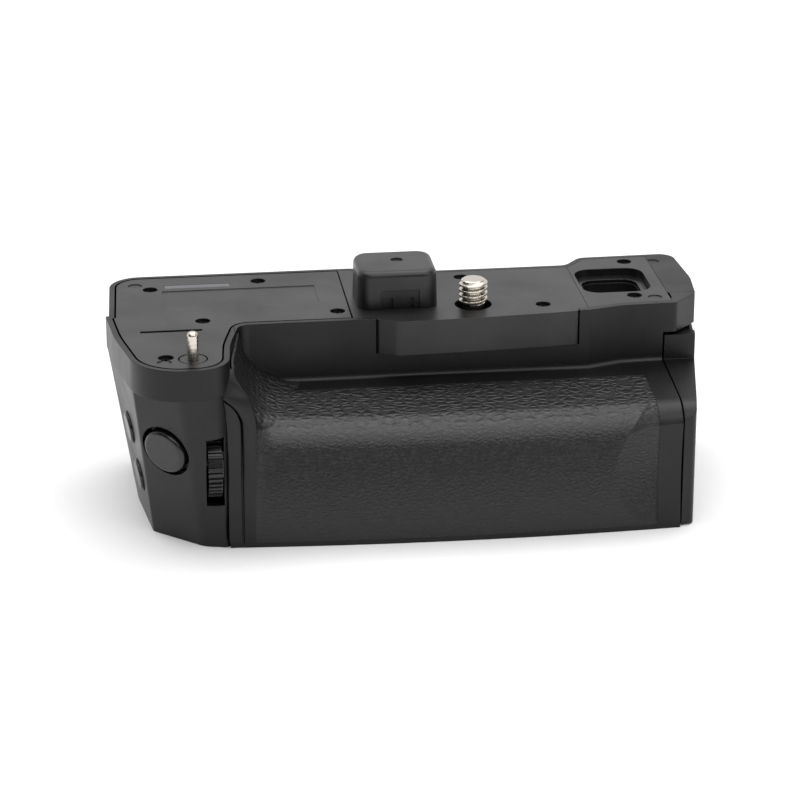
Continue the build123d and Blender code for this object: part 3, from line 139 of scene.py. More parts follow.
def moulded(name, colour, roughness, grain_mm, relief_mm, edge_mm, patch=0.06, specular=0.5, coat=0.0):
    """Plastic with an eroded grain, slow patches in its gloss and soft edges."""
    material = bpy.data.materials.new(name)
    tree = empty_tree(material)
    place = node(tree, "ShaderNodeTexCoord").outputs["Object"]
    grain = node(
        tree, "ShaderNodeTexNoise", [("Vector", place)],
        Scale=1 / (grain_mm * MM), Detail=2.0, Roughness=0.6,
    ).outputs["Fac"]
    slow = node(
        tree, "ShaderNodeTexNoise", [("Vector", place)], Scale=1 / (PATCH_MM * MM), Detail=3.0,
    ).outputs["Fac"]
    gloss = node(
        tree, "ShaderNodeMapRange", [("Value", slow)], From_Min=0.3, From_Max=0.7,
        To_Min=roughness - patch, To_Max=roughness + patch,
    ).outputs["Result"]
    tint = node(tree, "ShaderNodeValToRGB", [("Fac", grain)])
    low, high = tint.color_ramp.elements
    low.position, high.position = GRAIN_LOW, GRAIN_HIGH
    low.color, high.color = toned(linear(colour), PIT_TINT), toned(linear(colour), PEAK_TINT)
    soft = node(tree, "ShaderNodeBevel", Radius=edge_mm * MM, samples=BEVEL_SAMPLES).outputs["Normal"]
    bump = node(
        tree, "ShaderNodeBump", [("Height", grain), ("Normal", soft)],
        Strength=1.0, Distance=relief_mm * MM,
    ).outputs["Normal"]
    shader = node(
        tree, "ShaderNodeBsdfPrincipled",
        [("Base Color", tint.outputs["Color"]), ("Roughness", gloss), ("Normal", bump)],
        IOR=PLASTIC_IOR, Coat_Weight=coat, Coat_Roughness=0.25, Specular_IOR_Level=specular,
    )
    node(tree, "ShaderNodeOutputMaterial", [("Surface", shader.outputs["BSDF"])])
    return material


# A coarse grain: an even, dull sheen on the casings.
casing_abs = moulded("abs_spark_eroded_black", CASING_BLACK, 0.40, 0.30, 0.016, 0.30, specular=0.35)
# A finer grain: the deck turns grey where the bright room reflects in it.
deck_abs = moulded("abs_fine_matt_black", 0x121213, 0.37, 0.26, 0.014, 0.25)
# Polished by the tool and by fingers: small clear highlights on button caps and dial ribs.
control_abs = moulded("abs_polished_black", 0x101011, 0.27, 0.5, 0.003, 0.25)
dial_abs = moulded("abs_ribbed_dial_black", 0x121213, 0.33, 0.4, 0.004, 0.12)
# Inner parts come from a plain tool and have no finish to speak of.
inner_abs = moulded("abs_plain_inner_black", 0x26262A, 0.55, 0.5, 0.010, 0.2)
# Acetal has a waxy, pale look, and the printed film a flat sheen.
grey_catch = moulded("pom_light_grey", 0x9C9C98, 0.42, 0.5, 0.006, 0.2)
label_film = moulded("polyester_film_dark_grey", 0x55555A, 0.36, 0.6, 0.004, 0.05)
print("plastics", [m.name for m in (casing_abs, deck_abs, control_abs, dial_abs, inner_abs)])

# %% [markdown]
# The covering is PVC leatherette, embossed with a pebbled grain. Pebbles are cells with rounded tops and
# narrow valleys, which Voronoi's distance to the cell edge gives directly. On the shelf they are about
# 1.5 mm across and lie stretched along the grip; the front face has a flatter, finer grain. So two grains are
# mixed by height: coarse above the ridge, fine below it. The tops of pebbles shine a little more than their
# valleys.
#
# The grip's face is slightly crowned up to the ridge, and a shallow scoop is pressed in at its right end. Both
# are in the solids, the crown only as a radius at the ridge. So the shading leans its normals up towards the
# ridge, more and more from the foot on, and inwards round the scoop's lip, which gives the soft falling light.

# %% Leatherette
COVERING_IOR = 1.5
COARSE_MM, FINE_MM = 1.5, 0.9
RELIEF_MM = 0.13
FINE_BELOW, COARSE_ABOVE = 24.5, 28.5
WOBBLE_MM, WOBBLE_BY_MM = 3.0, 1.2
STRETCH = (0.62, 1.0, 1.0)
PEBBLE_FLANK = 0.34
FINE_SHARE = 0.42
DUST_MM, DUST_SHARE = 0.3, 0.16
VALLEY_ROUGHNESS, TOP_ROUGHNESS = 0.48, 0.36
VALLEY_TINT = 0.6
COVERING_END_X, END_PAINTED_SHADE = 37.1, 0.12
CROWN_LOW, CROWN_HIGH, CROWN_DROP = 4.0, 27.5, 5.2
SCOOP_X, SCOOP_Z = 45.9, 14.0
SCOOP_HALF, SCOOP_LIP, SCOOP_DROP = 18.1, 9.0, 3.6


def leatherette(name, colour):
    """Embossed covering whose grain gets coarser from one height to another."""
    material = bpy.data.materials.new(name)
    tree = empty_tree(material)
    place = node(tree, "ShaderNodeTexCoord").outputs["Object"]
    spot = node(tree, "ShaderNodeSeparateXYZ", [("Vector", place)])
    along, height = spot.outputs["X"], spot.outputs["Z"]

    # Cells that wander off a regular pattern, in two sizes, rounded towards their edges.
    wobble = node(
        tree, "ShaderNodeTexNoise", [("Vector", place)], Scale=1 / (WOBBLE_MM * MM), Detail=2.0,
    ).outputs["Color"]
    shifted = node(
        tree, "ShaderNodeVectorMath", [(0, wobble), (2, place)],
        operation="MULTIPLY_ADD", input_1=[WOBBLE_BY_MM * MM] * 3,
    ).outputs["Vector"]
    stretched = node(tree, "ShaderNodeMapping", [("Vector", shifted)], Scale=STRETCH).outputs["Vector"]
    tops = []
    for cell_mm in (COARSE_MM, FINE_MM):
        to_edge = node(
            tree, "ShaderNodeTexVoronoi", [("Vector", stretched)],
            feature="DISTANCE_TO_EDGE", Scale=1 / (cell_mm * MM), Randomness=0.95,
        ).outputs["Distance"]
        tops.append(node(
            tree, "ShaderNodeMapRange", [("Value", to_edge)],
            From_Min=0.0, From_Max=PEBBLE_FLANK, interpolation_type="SMOOTHSTEP",
        ).outputs["Result"])
    share = node(
        tree, "ShaderNodeMapRange", [("Value", height)],
        From_Min=FINE_BELOW * MM, From_Max=COARSE_ABOVE * MM,
    ).outputs["Result"]
    flat = node(tree, "ShaderNodeMath", [(0, tops[1])], operation="MULTIPLY", input_1=FINE_SHARE).outputs[0]
    grain = node(
        tree, "ShaderNodeMix", [("Factor", share), ("A", flat), ("B", tops[0])],
    ).outputs["Result"]
    dust = node(
        tree, "ShaderNodeTexNoise", [("Vector", place)], Scale=1 / (DUST_MM * MM), Detail=2.0,
    ).outputs["Fac"]
    relief = node(
        tree, "ShaderNodeMath", [(0, dust), (2, grain)], operation="MULTIPLY_ADD", input_1=DUST_SHARE,
    ).outputs[0]

    # Valleys are darker and duller than tops, and near the door the covering ends in a line of painted shade,
    # for the shadow in the gap at its end.
    gloss = node(
        tree, "ShaderNodeMapRange", [("Value", grain)], To_Min=VALLEY_ROUGHNESS, To_Max=TOP_ROUGHNESS,
    ).outputs["Result"]
    tint = node(tree, "ShaderNodeValToRGB", [("Fac", grain)])
    valley, top = tint.color_ramp.elements
    valley.color, top.color = toned(linear(colour), VALLEY_TINT), linear(colour)
    # Painted shade: from half a millimetre before the covering's end its colour falls to about an eighth,
    # standing for the shadow in the gap there.
    painted_gap_shade = node(
        tree, "ShaderNodeMapRange", [("Value", along)],
        From_Min=(COVERING_END_X - 0.5) * MM, From_Max=(COVERING_END_X - 0.25) * MM,
        To_Min=1.0, To_Max=END_PAINTED_SHADE,
    ).outputs["Result"]
    shaded = node(
        tree, "ShaderNodeVectorMath", [(0, tint.outputs["Color"]), ("Scale", painted_gap_shade)], operation="SCALE",
    ).outputs["Vector"]

    # Crown: a height that falls with the square of the way from the foot to the ridge.
    soft = node(tree, "ShaderNodeBevel", Radius=0.4 * MM, samples=BEVEL_SAMPLES).outputs["Normal"]
    climb = node(
        tree, "ShaderNodeMapRange", [("Value", height)],
        From_Min=CROWN_LOW * MM, From_Max=CROWN_HIGH * MM,
    ).outputs["Result"]
    fall = node(tree, "ShaderNodeMath", [(0, climb), (1, climb)], operation="MULTIPLY").outputs[0]
    crowned = node(
        tree, "ShaderNodeBump", [("Height", fall), ("Normal", soft)],
        invert=True, Strength=1.0, Distance=CROWN_DROP * MM,
    ).outputs["Normal"]

    # Scoop: a height that climbs over the lip, by the distance from the scoop's middle seen from the front.
    offset = node(
        tree, "ShaderNodeVectorMath", [(0, place)],
        operation="SUBTRACT", input_1=[SCOOP_X * MM, 0.0, SCOOP_Z * MM],
    ).outputs["Vector"]
    from_front = node(
        tree, "ShaderNodeVectorMath", [(0, offset)], operation="MULTIPLY", input_1=[1.0, 0.0, 1.0],
    ).outputs["Vector"]
    reach = node(
        tree, "ShaderNodeVectorMath", [(0, from_front)], operation="LENGTH",
    ).outputs["Value"]
    bowl = node(
        tree, "ShaderNodeMapRange", [("Value", reach)],
        From_Min=(SCOOP_HALF - SCOOP_LIP) * MM, From_Max=SCOOP_HALF * MM,
    ).outputs["Result"]
    pressed = node(
        tree, "ShaderNodeBump", [("Height", bowl), ("Normal", crowned)],
        Strength=1.0, Distance=SCOOP_DROP * MM,
    ).outputs["Normal"]

    bump = node(
        tree, "ShaderNodeBump", [("Height", relief), ("Normal", pressed)],
        Strength=1.0, Distance=RELIEF_MM * MM,
    ).outputs["Normal"]
    shader = node(
        tree, "ShaderNodeBsdfPrincipled",
        [("Base Color", shaded), ("Roughness", gloss), ("Normal", bump)],
        IOR=COVERING_IOR, Specular_IOR_Level=0.55,
    )
    node(tree, "ShaderNodeOutputMaterial", [("Surface", shader.outputs["BSDF"])])
    return material


leather = leatherette("pvc_leatherette_embossed", 0x131314)
print("leatherette", leather.name)

# %% [markdown]
# Soft parts are moulded nitrile rubber: darker and duller than the casings, with no grain of their own, only
# the slight mottling that handling leaves.

# %% Rubber
soft_rubber = moulded("nitrile_rubber_moulded", 0x141414, 0.68, 0.6, 0.012, 0.3, patch=0.05)
print("rubber", soft_rubber.name)

# %% [markdown]
# The metals are turned or pressed. Turning leaves fine rings about the axis, a few hundredths of a millimetre
# apart. Rings that fine would vanish in the picture, so they are drawn just under 1 mm apart, as bands of
# slightly different roughness along the axis. The wave texture repeats its bands every 2 pi / 20 at scale 1.

# %% Metals
WAVE_STEP = 2 * math.pi / 20
RING_MM, RING_RELIEF_MM = 0.9425, 0.004
SMEAR_MM = 0.8
METAL_EDGE_MM = 0.08


def turned(name, colour, roughness):
    """Turned metal with fine tool rings along Z."""
    material = bpy.data.materials.new(name)
    tree = empty_tree(material)
    place = node(tree, "ShaderNodeTexCoord").outputs["Object"]
    rings = node(
        tree, "ShaderNodeTexWave", [("Vector", place)], wave_type="BANDS", bands_direction="Z",
        Scale=WAVE_STEP / (RING_MM * MM), Distortion=1.5, Detail=2.0,
    ).outputs["Fac"]
    smears = node(
        tree, "ShaderNodeTexNoise", [("Vector", place)], Scale=1 / (SMEAR_MM * MM), Detail=3.0,
    ).outputs["Fac"]
    mixed = node(tree, "ShaderNodeMix", [("A", rings), ("B", smears)], Factor=0.5).outputs["Result"]
    gloss = node(
        tree, "ShaderNodeMapRange", [("Value", mixed)], To_Min=roughness * 0.75, To_Max=roughness * 1.3,
    ).outputs["Result"]
    soft = node(
        tree, "ShaderNodeBevel", Radius=METAL_EDGE_MM * MM, samples=BEVEL_SAMPLES,
    ).outputs["Normal"]
    bump = node(
        tree, "ShaderNodeBump", [("Height", rings), ("Normal", soft)],
        Strength=0.6, Distance=RING_RELIEF_MM * MM,
    ).outputs["Normal"]
    shader = node(
        tree, "ShaderNodeBsdfPrincipled", [("Roughness", gloss), ("Normal", bump)],
        Base_Color=linear(colour), Metallic=1.0,
    )
    node(tree, "ShaderNodeOutputMaterial", [("Surface", shader.outputs["BSDF"])])
    return material


# Bare turned steel mirrors the room in bright streaks; black oxide keeps only a dull gleam of it.
bright_steel = turned("stainless_steel_turned", 0xD2CBC0, 0.24)
black_steel = turned("steel_black_oxide", 0x2E2E30, 0.38)
# Pressed aluminium is flat and pale, brass and gold plate are warm.
pressed_aluminium = turned("aluminium_pressed", 0xB4B5B7, 0.40)
turned_brass = turned("brass_turned", 0xC2A25E, 0.30)
gold_plate = turned("gold_plated_bronze", 0xE3BF6B, 0.22)
print("metals", [m.name for m in (bright_steel, black_steel, pressed_aluminium, turned_brass, gold_plate)])

# %% [markdown]
# Inside are circuit boards, which are glass-epoxy under a green solder mask, and an amber polyimide ribbon.
# The mask is a thin clear-coated film, so a coat gives its shine.

# %% Boards and ribbon
board_mask = moulded("epoxy_board_green_mask", 0x1E5A34, 0.45, 0.7, 0.004, 0.1, coat=0.5)
ribbon_film = moulded("polyimide_ribbon_amber", 0xB0742A, 0.35, 0.8, 0.003, 0.05, coat=0.3)
print("boards", board_mask.name, ribbon_film.name)

# %% [markdown]
# Each solid takes the finish of what it is on the real object. The record names a material slot for each
# node, so the finishes are set by slot.

# %% Give each node its finish
finish_of_slot = {
    "shell": casing_abs,
    "deck": deck_abs,
    "leatherette": leather,
    "control": control_abs,
    "dial": dial_abs,
    "soft_rubber": soft_rubber,
    "steel": bright_steel,
    "screw_black": black_steel,
    "gold": gold_plate,
    "inner": inner_abs,
    "metal_inner": pressed_aluminium,
    "board": board_mask,
    "flex": ribbon_film,
    "brass_insert": turned_brass,
    "plate_grey": label_film,
    "catch": grey_catch,
}
for entry in frame["record"]["subparts"]:
    solid = frame["nodes"][entry["node"]]
    solid.data.materials.clear()
    solid.data.materials.append(finish_of_slot[entry["material_slot"]])

# %% [markdown]
# A mesh piece is a list of points and faces. Grids of points are the usual case here, so one function turns
# rows of points into faces, closed round or open, and another makes the object and lets it ride on its body.

# %% Make a piece from points
def grid_faces(rows, columns, closed=False):
    """Quads between rows of points; closed joins the last column to the first."""
    faces = []
    for row in range(rows - 1):
        low, high = row * columns, (row + 1) * columns
        for column in range(columns if closed else columns - 1):
            after = (column + 1) % columns
            faces.append((low + column, low + after, high + after, high + column))
    return faces


def piece(name, points_mm, faces, material, body, smooth=True):
    """Mesh object from points in millimetres."""
    mesh = bpy.data.meshes.new(name)
    mesh.from_pydata([Vector(p) * MM for p in points_mm], [], faces)
    mesh.validate()
    mesh.polygons.foreach_set("use_smooth", [smooth] * len(mesh.polygons))
    mesh.materials.append(material)
    made = bpy.data.objects.new(name, mesh)
    bpy.context.scene.collection.objects.link(made)
    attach(made, body)
    print(name, len(mesh.vertices), "points")
    return made


def in_one_list(rows):
    """Points of all rows, one row after another."""
    return [point for row in rows for point in row]


print("piece helpers ready")

# %% [markdown]
# The camera screw is a 1/4-20 thread: 6.35 mm across with a pitch of 25.4 / 20 = 1.27 mm. A thread could be
# a texture, but its outline against the pale background shows the teeth, so it is real geometry: rings of
# points whose radius follows the thread's profile, each ring's profile turned a little further round. Below
# the thread are the plain neck, the collar that the deck holds, and the shaft that carries the gear.

# %% Camera screw
PITCH = 25.4 / 20
SCREW_R = 6.35 / 2
ROOT_R = SCREW_R - 0.72
NECK_R, COLLAR_R, SHAFT_R = 2.4, 4.07, 2.6
COLLAR_RISE, COLLAR_T = 5.5, 1.0
THREAD_LOW, SCREW_TOP = 44.3, 50.0
CREST_SHARE, FLANK_SHARE = 0.16, 0.62
RUN_OUT = 0.6
CHAMFER, CHAMFER_SLOPE = 0.7, 1.2
RING_STEP = 0.07
AROUND = 72


def thread_radius(z, angle):
    """Radius of the thread at a height and angle, with flat crests and rounded roots."""
    turn = ((z - THREAD_LOW) / PITCH - angle / (2 * math.pi)) % 1.0
    ramp = min(max((abs(2 * turn - 1) - CREST_SHARE) / FLANK_SHARE, 0.0), 1.0)
    full = ROOT_R + (SCREW_R - ROOT_R) * (ramp * ramp * (3 - 2 * ramp))
    fade = min(max((z - THREAD_LOW) / RUN_OUT, 0.0), 1.0)
    tip = SCREW_R - max(z - (SCREW_TOP - CHAMFER), 0.0) * CHAMFER_SLOPE
    return min(ROOT_R + (full - ROOT_R) * fade, tip)


low_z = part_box("tripod_screw")[0][2] / MM
collar_z = low_z + COLLAR_RISE
plain_rings = [
    (SHAFT_R, low_z), (SHAFT_R, collar_z), (COLLAR_R, collar_z), (COLLAR_R, collar_z + COLLAR_T),
    (NECK_R, collar_z + COLLAR_T), (NECK_R, THREAD_LOW),
]
ring_steps = int((SCREW_TOP - THREAD_LOW) / RING_STEP)
heights = [THREAD_LOW + i * RING_STEP for i in range(ring_steps + 1)] + [SCREW_TOP]
angles = [2 * math.pi * i / AROUND for i in range(AROUND)]
rings = [[(r, a, z) for a in angles] for r, z in plain_rings]
rings += [[(thread_radius(z, a), a, z) for a in angles] for z in heights]
points = [(r * math.cos(a), r * math.sin(a), z) for r, a, z in in_one_list(rings)]
faces = grid_faces(len(rings), AROUND, closed=True)
faces.append(tuple(reversed(range(AROUND))))
faces.append(tuple(range((len(rings) - 1) * AROUND, len(rings) * AROUND)))
camera_screw = piece("camera_screw_threaded", points, faces, bright_steel, "tripod_screw", smooth=False)
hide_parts("tripod_screw")

# %% [markdown]
# Beside the control corner the covering doesn't stop at the shelf: it sweeps up the corner's side to the deck,
# wide and round at the back wall and tight at the front edge, and fades out down the front face. On the real
# grip the shell is moulded to that form and the leatherette is pressed over it. Such a form has no single
# radius, so it is drawn here as stations from the back wall to the foot. Each station has its left end on the
# corner, its right end on the shelf or front face, and a corner point that bends the line between them.

# %% Stations of the sweep: left end, corner point, right end, in millimetres
SWEEP = [
    ((-52.9, -7.8, 42.9), (-52.9, -7.8, 30.2), (-39.7, -7.8, 30.3)),
    ((-53.6, -11.0, 41.9), (-53.4, -11.0, 29.8), (-40.8, -11.5, 29.8)),
    ((-54.2, -15.0, 41.6), (-53.9, -15.5, 29.4), (-42.0, -16.0, 29.4)),
    ((-54.9, -19.0, 41.5), (-54.3, -19.5, 29.0), (-43.2, -20.0, 28.9)),
    ((-55.4, -24.3, 41.1), (-54.5, -24.2, 28.8), (-44.4, -23.6, 28.5)),
    ((-55.0, -27.5, 39.0), (-53.9, -27.2, 29.0), (-45.2, -25.8, 27.6)),
    ((-53.8, -28.8, 37.1), (-52.8, -28.9, 28.8), (-45.8, -27.4, 26.4)),
    ((-52.4, -29.4, 35.0), (-51.8, -29.4, 28.0), (-46.2, -28.4, 24.9)),
    ((-51.6, -29.7, 32.3), (-51.2, -29.4, 26.5), (-46.5, -28.7, 23.2)),
    ((-51.3, -29.8, 29.3), (-50.9, -29.1, 24.0), (-46.9, -28.7, 21.5)),
    ((-51.3, -29.7, 25.8), (-50.6, -28.8, 21.5), (-47.5, -28.6, 19.5)),
    ((-51.4, -29.4, 19.0), (-50.6, -28.6, 16.5), (-48.6, -28.5, 16.0)),
    ((-51.5, -29.0, 12.0), (-50.8, -28.4, 10.8), (-49.6, -28.4, 10.5)),
    ((-51.6, -28.7, 6.0), (-51.0, -28.3, 5.7), (-50.1, -28.4, 5.5)),
    ((-51.6, -28.4, 1.4), (-51.1, -28.3, 1.4), (-50.4, -28.3, 1.4)),
]
BETWEEN = 8
print("sweep has", len(SWEEP), "stations")

# %% [markdown]
# A smooth line through the stations gives each edge, and a bent line joins the edges across. The right ends
# are laid on the covering's own surface, so that the sweep runs into it without a step. The first two
# stations lie at the back wall, where the covering has already ended, and keep their drawn ends.

# %% Leather sweep
FREE_STATIONS = 2
CORNER_PULL = 0.9
SINK = 0.04
ACROSS = 28
BEND_WEIGHT = 0.75
SWEEP_TUCK = Vector((-0.5, 0.25, -0.1))
SWEEP_EDGE = Vector((-0.12, 0.0, 0.02))
SWEEP_TOP = Vector((0.0, 0.9, 0.0))


def smooth_line(stations):
    """Points along a smooth line through the stations."""
    stations = [Vector(station) for station in stations]
    padded = [2 * stations[0] - stations[1], *stations, 2 * stations[-1] - stations[-2]]
    line = []
    for a, b, c, d in zip(padded, padded[1:], padded[2:], padded[3:]):
        for step in range(BETWEEN):
            t = step / BETWEEN
            bend = 2 * a - 5 * b + 4 * c - d
            twist = 3 * b - a - 3 * c + d
            line.append(0.5 * (2 * b + (c - a) * t + bend * t * t + twist * t ** 3))
    return line + [stations[-1]]


def bent(start, corner, end, count):
    """Points along an arc-like line from start to end, bent by the corner point."""
    points = []
    for i in range(count + 1):
        t = i / count
        shares = ((1 - t) ** 2, 2 * BEND_WEIGHT * t * (1 - t), t * t)
        points.append((start * shares[0] + corner * shares[1] + end * shares[2]) / sum(shares))
    return points


def surface_of(name):
    """Search tree of a CAD node's surface."""
    mesh = frame["nodes"][name].data
    return BVHTree.FromPolygons([v.co for v in mesh.vertices], [p.vertices for p in mesh.polygons])


skin = surface_of("front_leather")
lefts, corners, rights = ([Vector(station[i]) for station in SWEEP] for i in range(3))
for i, right in enumerate(rights):
    on_skin, normal = skin.find_nearest(right * MM)[:2]
    normal = normal if normal.z - normal.y > 0 else -normal
    if i >= FREE_STATIONS:
        rights[i] = on_skin / MM
        corners[i] -= normal * (corners[i] - rights[i]).dot(normal) * CORNER_PULL
    rights[i] -= normal * SINK
left_line = smooth_line(lefts)
rows = [bent(*ends, ACROSS) for ends in zip(left_line, smooth_line(corners), smooth_line(rights))]
rows = [[row[0] + SWEEP_TUCK, row[0] + SWEEP_EDGE, *row[1:]] for row in rows]
rows = [[point + SWEEP_TOP for point in rows[0]], *rows]
faces = grid_faces(len(rows), ACROSS + 2)
leather_sweep = piece("leather_sweep", in_one_list(rows), faces, leather, "grip")

# %% [markdown]
# Left of the covering the shell shows as a smooth margin. It wraps the control corner and runs down beside
# the seam. On the other side of the seam the corner has a soft raised border that runs down past the front
# dial. Both are part of the mouldings, so they take the casing's finish. Only a narrow dark line stays
# between them, which is the seam. Their edges are tucked into the casings, so that no gap shows there.

# %% Margin and border on the two sides of the seam
SEAM = [
    (-55.9, -25.3, 40.7), (-58.3, -29.4, 40.7), (-58.5, -31.2, 36.8), (-57.7, -31.1, 35.6), (-56.0, -30.7, 33.9),
    (-54.7, -29.9, 31.4), (-54.15, -28.9, 28.0), (-54.15, -28.3, 19.0), (-54.15, -28.15, 12.0),
    (-54.15, -28.1, 6.0), (-54.15, -28.07, 1.4),
]
BORDER = [
    (-58.3, -31.0, 35.4), (-58.0, -30.4, 33.2), (-57.8, -29.9, 30.5), (-57.6, -29.3, 27.5), (-57.4, -28.8, 19.0),
    (-57.4, -28.6, 12.0), (-57.4, -28.5, 6.0), (-57.4, -28.5, 1.4),
]
SEAM_GAP = Vector((-0.24, 0.0, -0.22))
STRIP_BULGE = Vector((0.0, -0.35, 0.15))
STRIP_ACROSS = 8


def shell_strip(name, left_line, right_line, left_tuck, right_tuck, top_tuck):
    """Slightly bulging strip between two lines, with its edges tucked into the casing."""
    rows = []
    for left, right in zip(left_line, right_line):
        row = bent(left, (left + right) / 2 + STRIP_BULGE, right, STRIP_ACROSS)
        rows.append([left + Vector(left_tuck), *row, right + Vector(right_tuck)])
    rows = [[point + Vector(top_tuck) for point in rows[0]], *rows]
    faces = grid_faces(len(rows), STRIP_ACROSS + 3)
    return piece(name, in_one_list(rows), faces, casing_abs, "grip")


seam_line = smooth_line(SEAM)
edge_line = left_line[-len(seam_line):]
sweep_margin = shell_strip(
    "sweep_margin", seam_line, edge_line, (0.3, 1.2, 0.0), (0.1, 0.5, 0.0), (0.2, 0.8, -0.3)
)
border_line = smooth_line(BORDER)
seam_side = [point + SEAM_GAP for point in seam_line[-len(border_line):]]
corner_border = shell_strip(
    "corner_border", border_line, seam_side, (0.1, 1.6, 0.0), (-0.1, 1.2, 0.0), (0.0, 0.8, 0.2)
)

# %% [markdown]
# The left deck cover drops into a rim, and the joint between them reads as a fine black line. The line is
# taken from the cover's own top edge, so it stays on the joint whatever the cover's outline is. No light
# comes back out of so narrow a gap, so the plastic down in it is dull black without any sheen.

# %% Joint line round the left cover
JOINT_HALF = 0.21
JOINT_LIFT = Vector((0.0, 0.0, 0.02))
LEVEL_SLACK = 0.01


def top_loop(name):
    """Outline of the upper face of a flat-topped CAD node, in mm, from its leftmost point on."""
    mesh = frame["nodes"][name].data
    spots = [tuple(round(c / MM, 3) for c in v.co) for v in mesh.vertices]
    level = max(spot[2] for spot in spots)
    uses = {}
    for face in mesh.polygons:
        if all(level - spots[i][2] < LEVEL_SLACK for i in face.vertices):
            for key in face.edge_keys:
                uses[key] = uses.get(key, 0) + 1
    beside = {}
    for a, b in (key for key, count in uses.items() if count == 1):
        beside.setdefault(spots[a], []).append(spots[b])
        beside.setdefault(spots[b], []).append(spots[a])
    loop, last = [min(beside)], None
    while True:
        onward = [spot for spot in beside[loop[-1]] if spot != last]
        if not onward or onward[0] == loop[0] or len(loop) > len(beside):
            return [Vector(spot) for spot in loop]
        last = loop[-1]
        loop.append(onward[0])


joint_shadow = moulded("abs_joint_in_shadow", 0x030303, 0.95, 0.30, 0.002, 0.05, specular=0.0)
rim_loop = top_loop("top_cover_left")
rows = []
for before, here, ahead in zip(rim_loop[-1:] + rim_loop, rim_loop, rim_loop[1:] + rim_loop[:1]):
    run = (ahead - before).normalized()
    side = Vector((run.y, -run.x, 0.0)) * JOINT_HALF
    rows.append([here - side + JOINT_LIFT, here + side + JOINT_LIFT])
faces = grid_faces(len(rows) + 1, 2)
cover_joint = piece("cover_joint", in_one_list(rows + rows[:1]), faces, joint_shadow, "grip")

# %% [markdown]
# The floor and the backdrop of a product shot are one white sweep. It has to come out plain white, while the
# object's shadow on it must stay. So the floor is white paper that the lights bring to white by themselves,
# with a very little light of its own for the camera and for mirrored rays, which doesn't wash out the shadow.

# %% Floor
FLOOR_HALF = 4
FLOOR_GLOW = 0.04
BASE_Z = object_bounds()[0][2] / MM
floor_mesh = bpy.data.meshes.new("floor")
floor_corners = [(x * FLOOR_HALF, y * FLOOR_HALF, 0) for x, y in ((-1, -1), (1, -1), (1, 1), (-1, 1))]
floor_mesh.from_pydata(floor_corners, [], [(0, 1, 2, 3)])
floor = bpy.data.objects.new("floor", floor_mesh)
floor.location = (0, 0, (BASE_Z - 0.05) * MM)
bpy.context.scene.collection.objects.link(floor)
paper = bpy.data.materials.new("paper_sweep_white")
floor_mesh.materials.append(paper)
tree = empty_tree(paper)
sheet = node(tree, "ShaderNodeBsdfDiffuse", Color=linear(0xF4F4F4))
paths = node(tree, "ShaderNodeLightPath").outputs
seen = node(
    tree, "ShaderNodeMath", [(0, paths["Is Camera Ray"]), (1, paths["Is Glossy Ray"])], operation="MAXIMUM"
)
dark = node(tree, "ShaderNodeEmission", Color=(0, 0, 0, 1), Strength=0.0)
glow = node(tree, "ShaderNodeEmission", Color=(1, 1, 1, 1), Strength=FLOOR_GLOW)
lift = node(tree, "ShaderNodeMixShader", [("Fac", seen.outputs[0]), (1, dark.outputs[0]), (2, glow.outputs[0])])
both = node(tree, "ShaderNodeAddShader", [(0, sheet.outputs[0]), (1, lift.outputs[0])])
node(tree, "ShaderNodeOutputMaterial", [("Surface", both.outputs[0])])
print("floor at", floor.location.z)

# %% [markdown]
# Black plastic shows mostly what it reflects, so the light is chosen by its reflections. The room is bright
# behind the object, which turns the deck grey, and dim in front. A large soft box overhead lights floor and
# deck, one above the front brightens the ridge of the grip, and one at the right the scoop and the door.

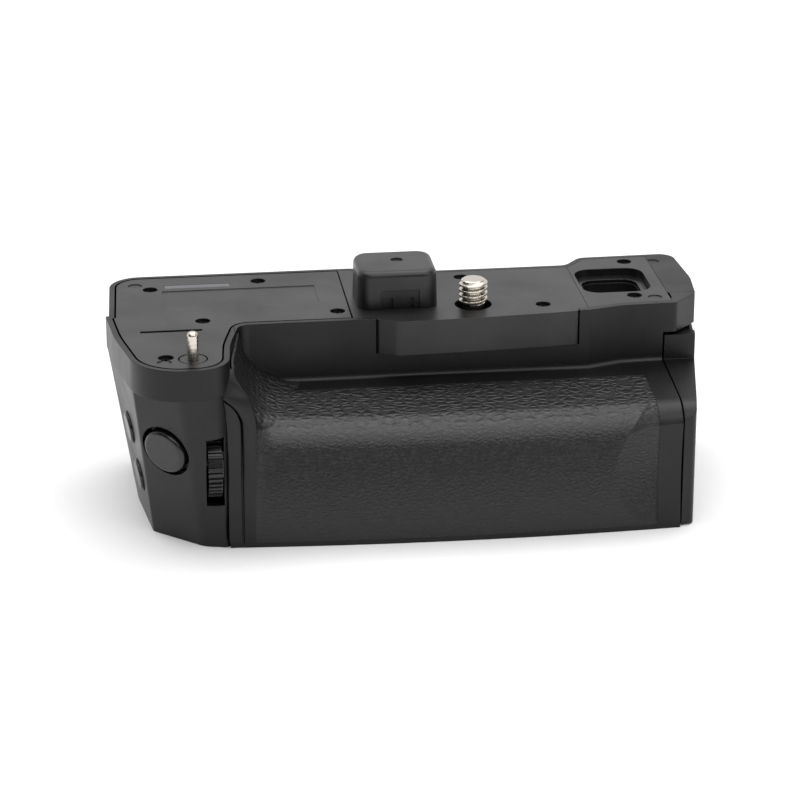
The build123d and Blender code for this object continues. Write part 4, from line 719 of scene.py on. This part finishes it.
# %% Light
ROOM_DIM, ROOM_BRIGHT = 0.06, 0.9
world = bpy.data.worlds.new("studio")
bpy.context.scene.world = world
tree = empty_tree(world)
place = node(tree, "ShaderNodeTexCoord").outputs["Generated"]
heading = node(tree, "ShaderNodeSeparateXYZ", [("Vector", place)]).outputs["Y"]
behind = node(
    tree, "ShaderNodeMapRange", [("Value", heading)], From_Min=-0.15, From_Max=0.35,
    To_Min=ROOM_DIM, To_Max=ROOM_BRIGHT, interpolation_type="SMOOTHSTEP",
).outputs["Result"]
to_camera = node(tree, "ShaderNodeLightPath").outputs["Is Camera Ray"]
room = node(tree, "ShaderNodeBackground", [("Strength", behind)], Color=(1, 1, 1, 1))
white = node(tree, "ShaderNodeBackground", Color=(1, 1, 1, 1), Strength=1.0)
choice = node(tree, "ShaderNodeMixShader", [("Fac", to_camera), (1, room.outputs[0]), (2, white.outputs[0])])
node(tree, "ShaderNodeOutputWorld", [("Surface", choice.outputs[0])])


def soft_box(name, place, aim, width, height, power):
    """Rectangular area light that faces a point, in metres and watts."""
    lamp = bpy.data.lights.new(name, "AREA")
    lamp.shape = "RECTANGLE"
    lamp.size = width
    lamp.size_y = height
    lamp.energy = power
    made = bpy.data.objects.new(name, lamp)
    made.location = place
    made.rotation_euler = (Vector(aim) - Vector(place)).to_track_quat("-Z", "Y").to_euler()
    bpy.context.scene.collection.objects.link(made)
    print(name, power, "W")
    return made


soft_box("overhead_box", (0.0, 0.1, 1.2), (0, 0, 0), 1.7, 1.0, 14.0)
soft_box("front_box", (0.05, -0.85, 1.05), (0, 0, 0.02), 1.4, 0.7, 7.0)
soft_box("right_box", (0.95, -0.75, 0.75), (0, 0, 0.02), 0.8, 0.6, 3.0)

# %% [markdown]
# The camera stands where the photograph's did: a long lens, about 0.7 m away and 21.6 degrees up. Its place,
# aim and focal length come from fitting the object's straight edges to the photograph.

# %% Camera
LENS_MM, SENSOR_MM = 137.25, 36.0
CAMERA_AT, CAMERA_AIM = Vector((-96.4, -634.0, 274.4)), Vector((-15.9, 4.4, 20.0))
lens = bpy.data.cameras.new("camera")
lens.lens = LENS_MM
lens.sensor_width = SENSOR_MM
lens.clip_start = 0.01
camera = bpy.data.objects.new("camera", lens)
camera.location = CAMERA_AT * MM
camera.rotation_euler = (CAMERA_AIM * MM - camera.location).to_track_quat("-Z", "Y").to_euler()
bpy.context.scene.collection.objects.link(camera)
bpy.context.scene.camera = camera
bpy.context.scene.view_settings.view_transform = "Standard"
print("camera at", tuple(round(c, 4) for c in camera.location))
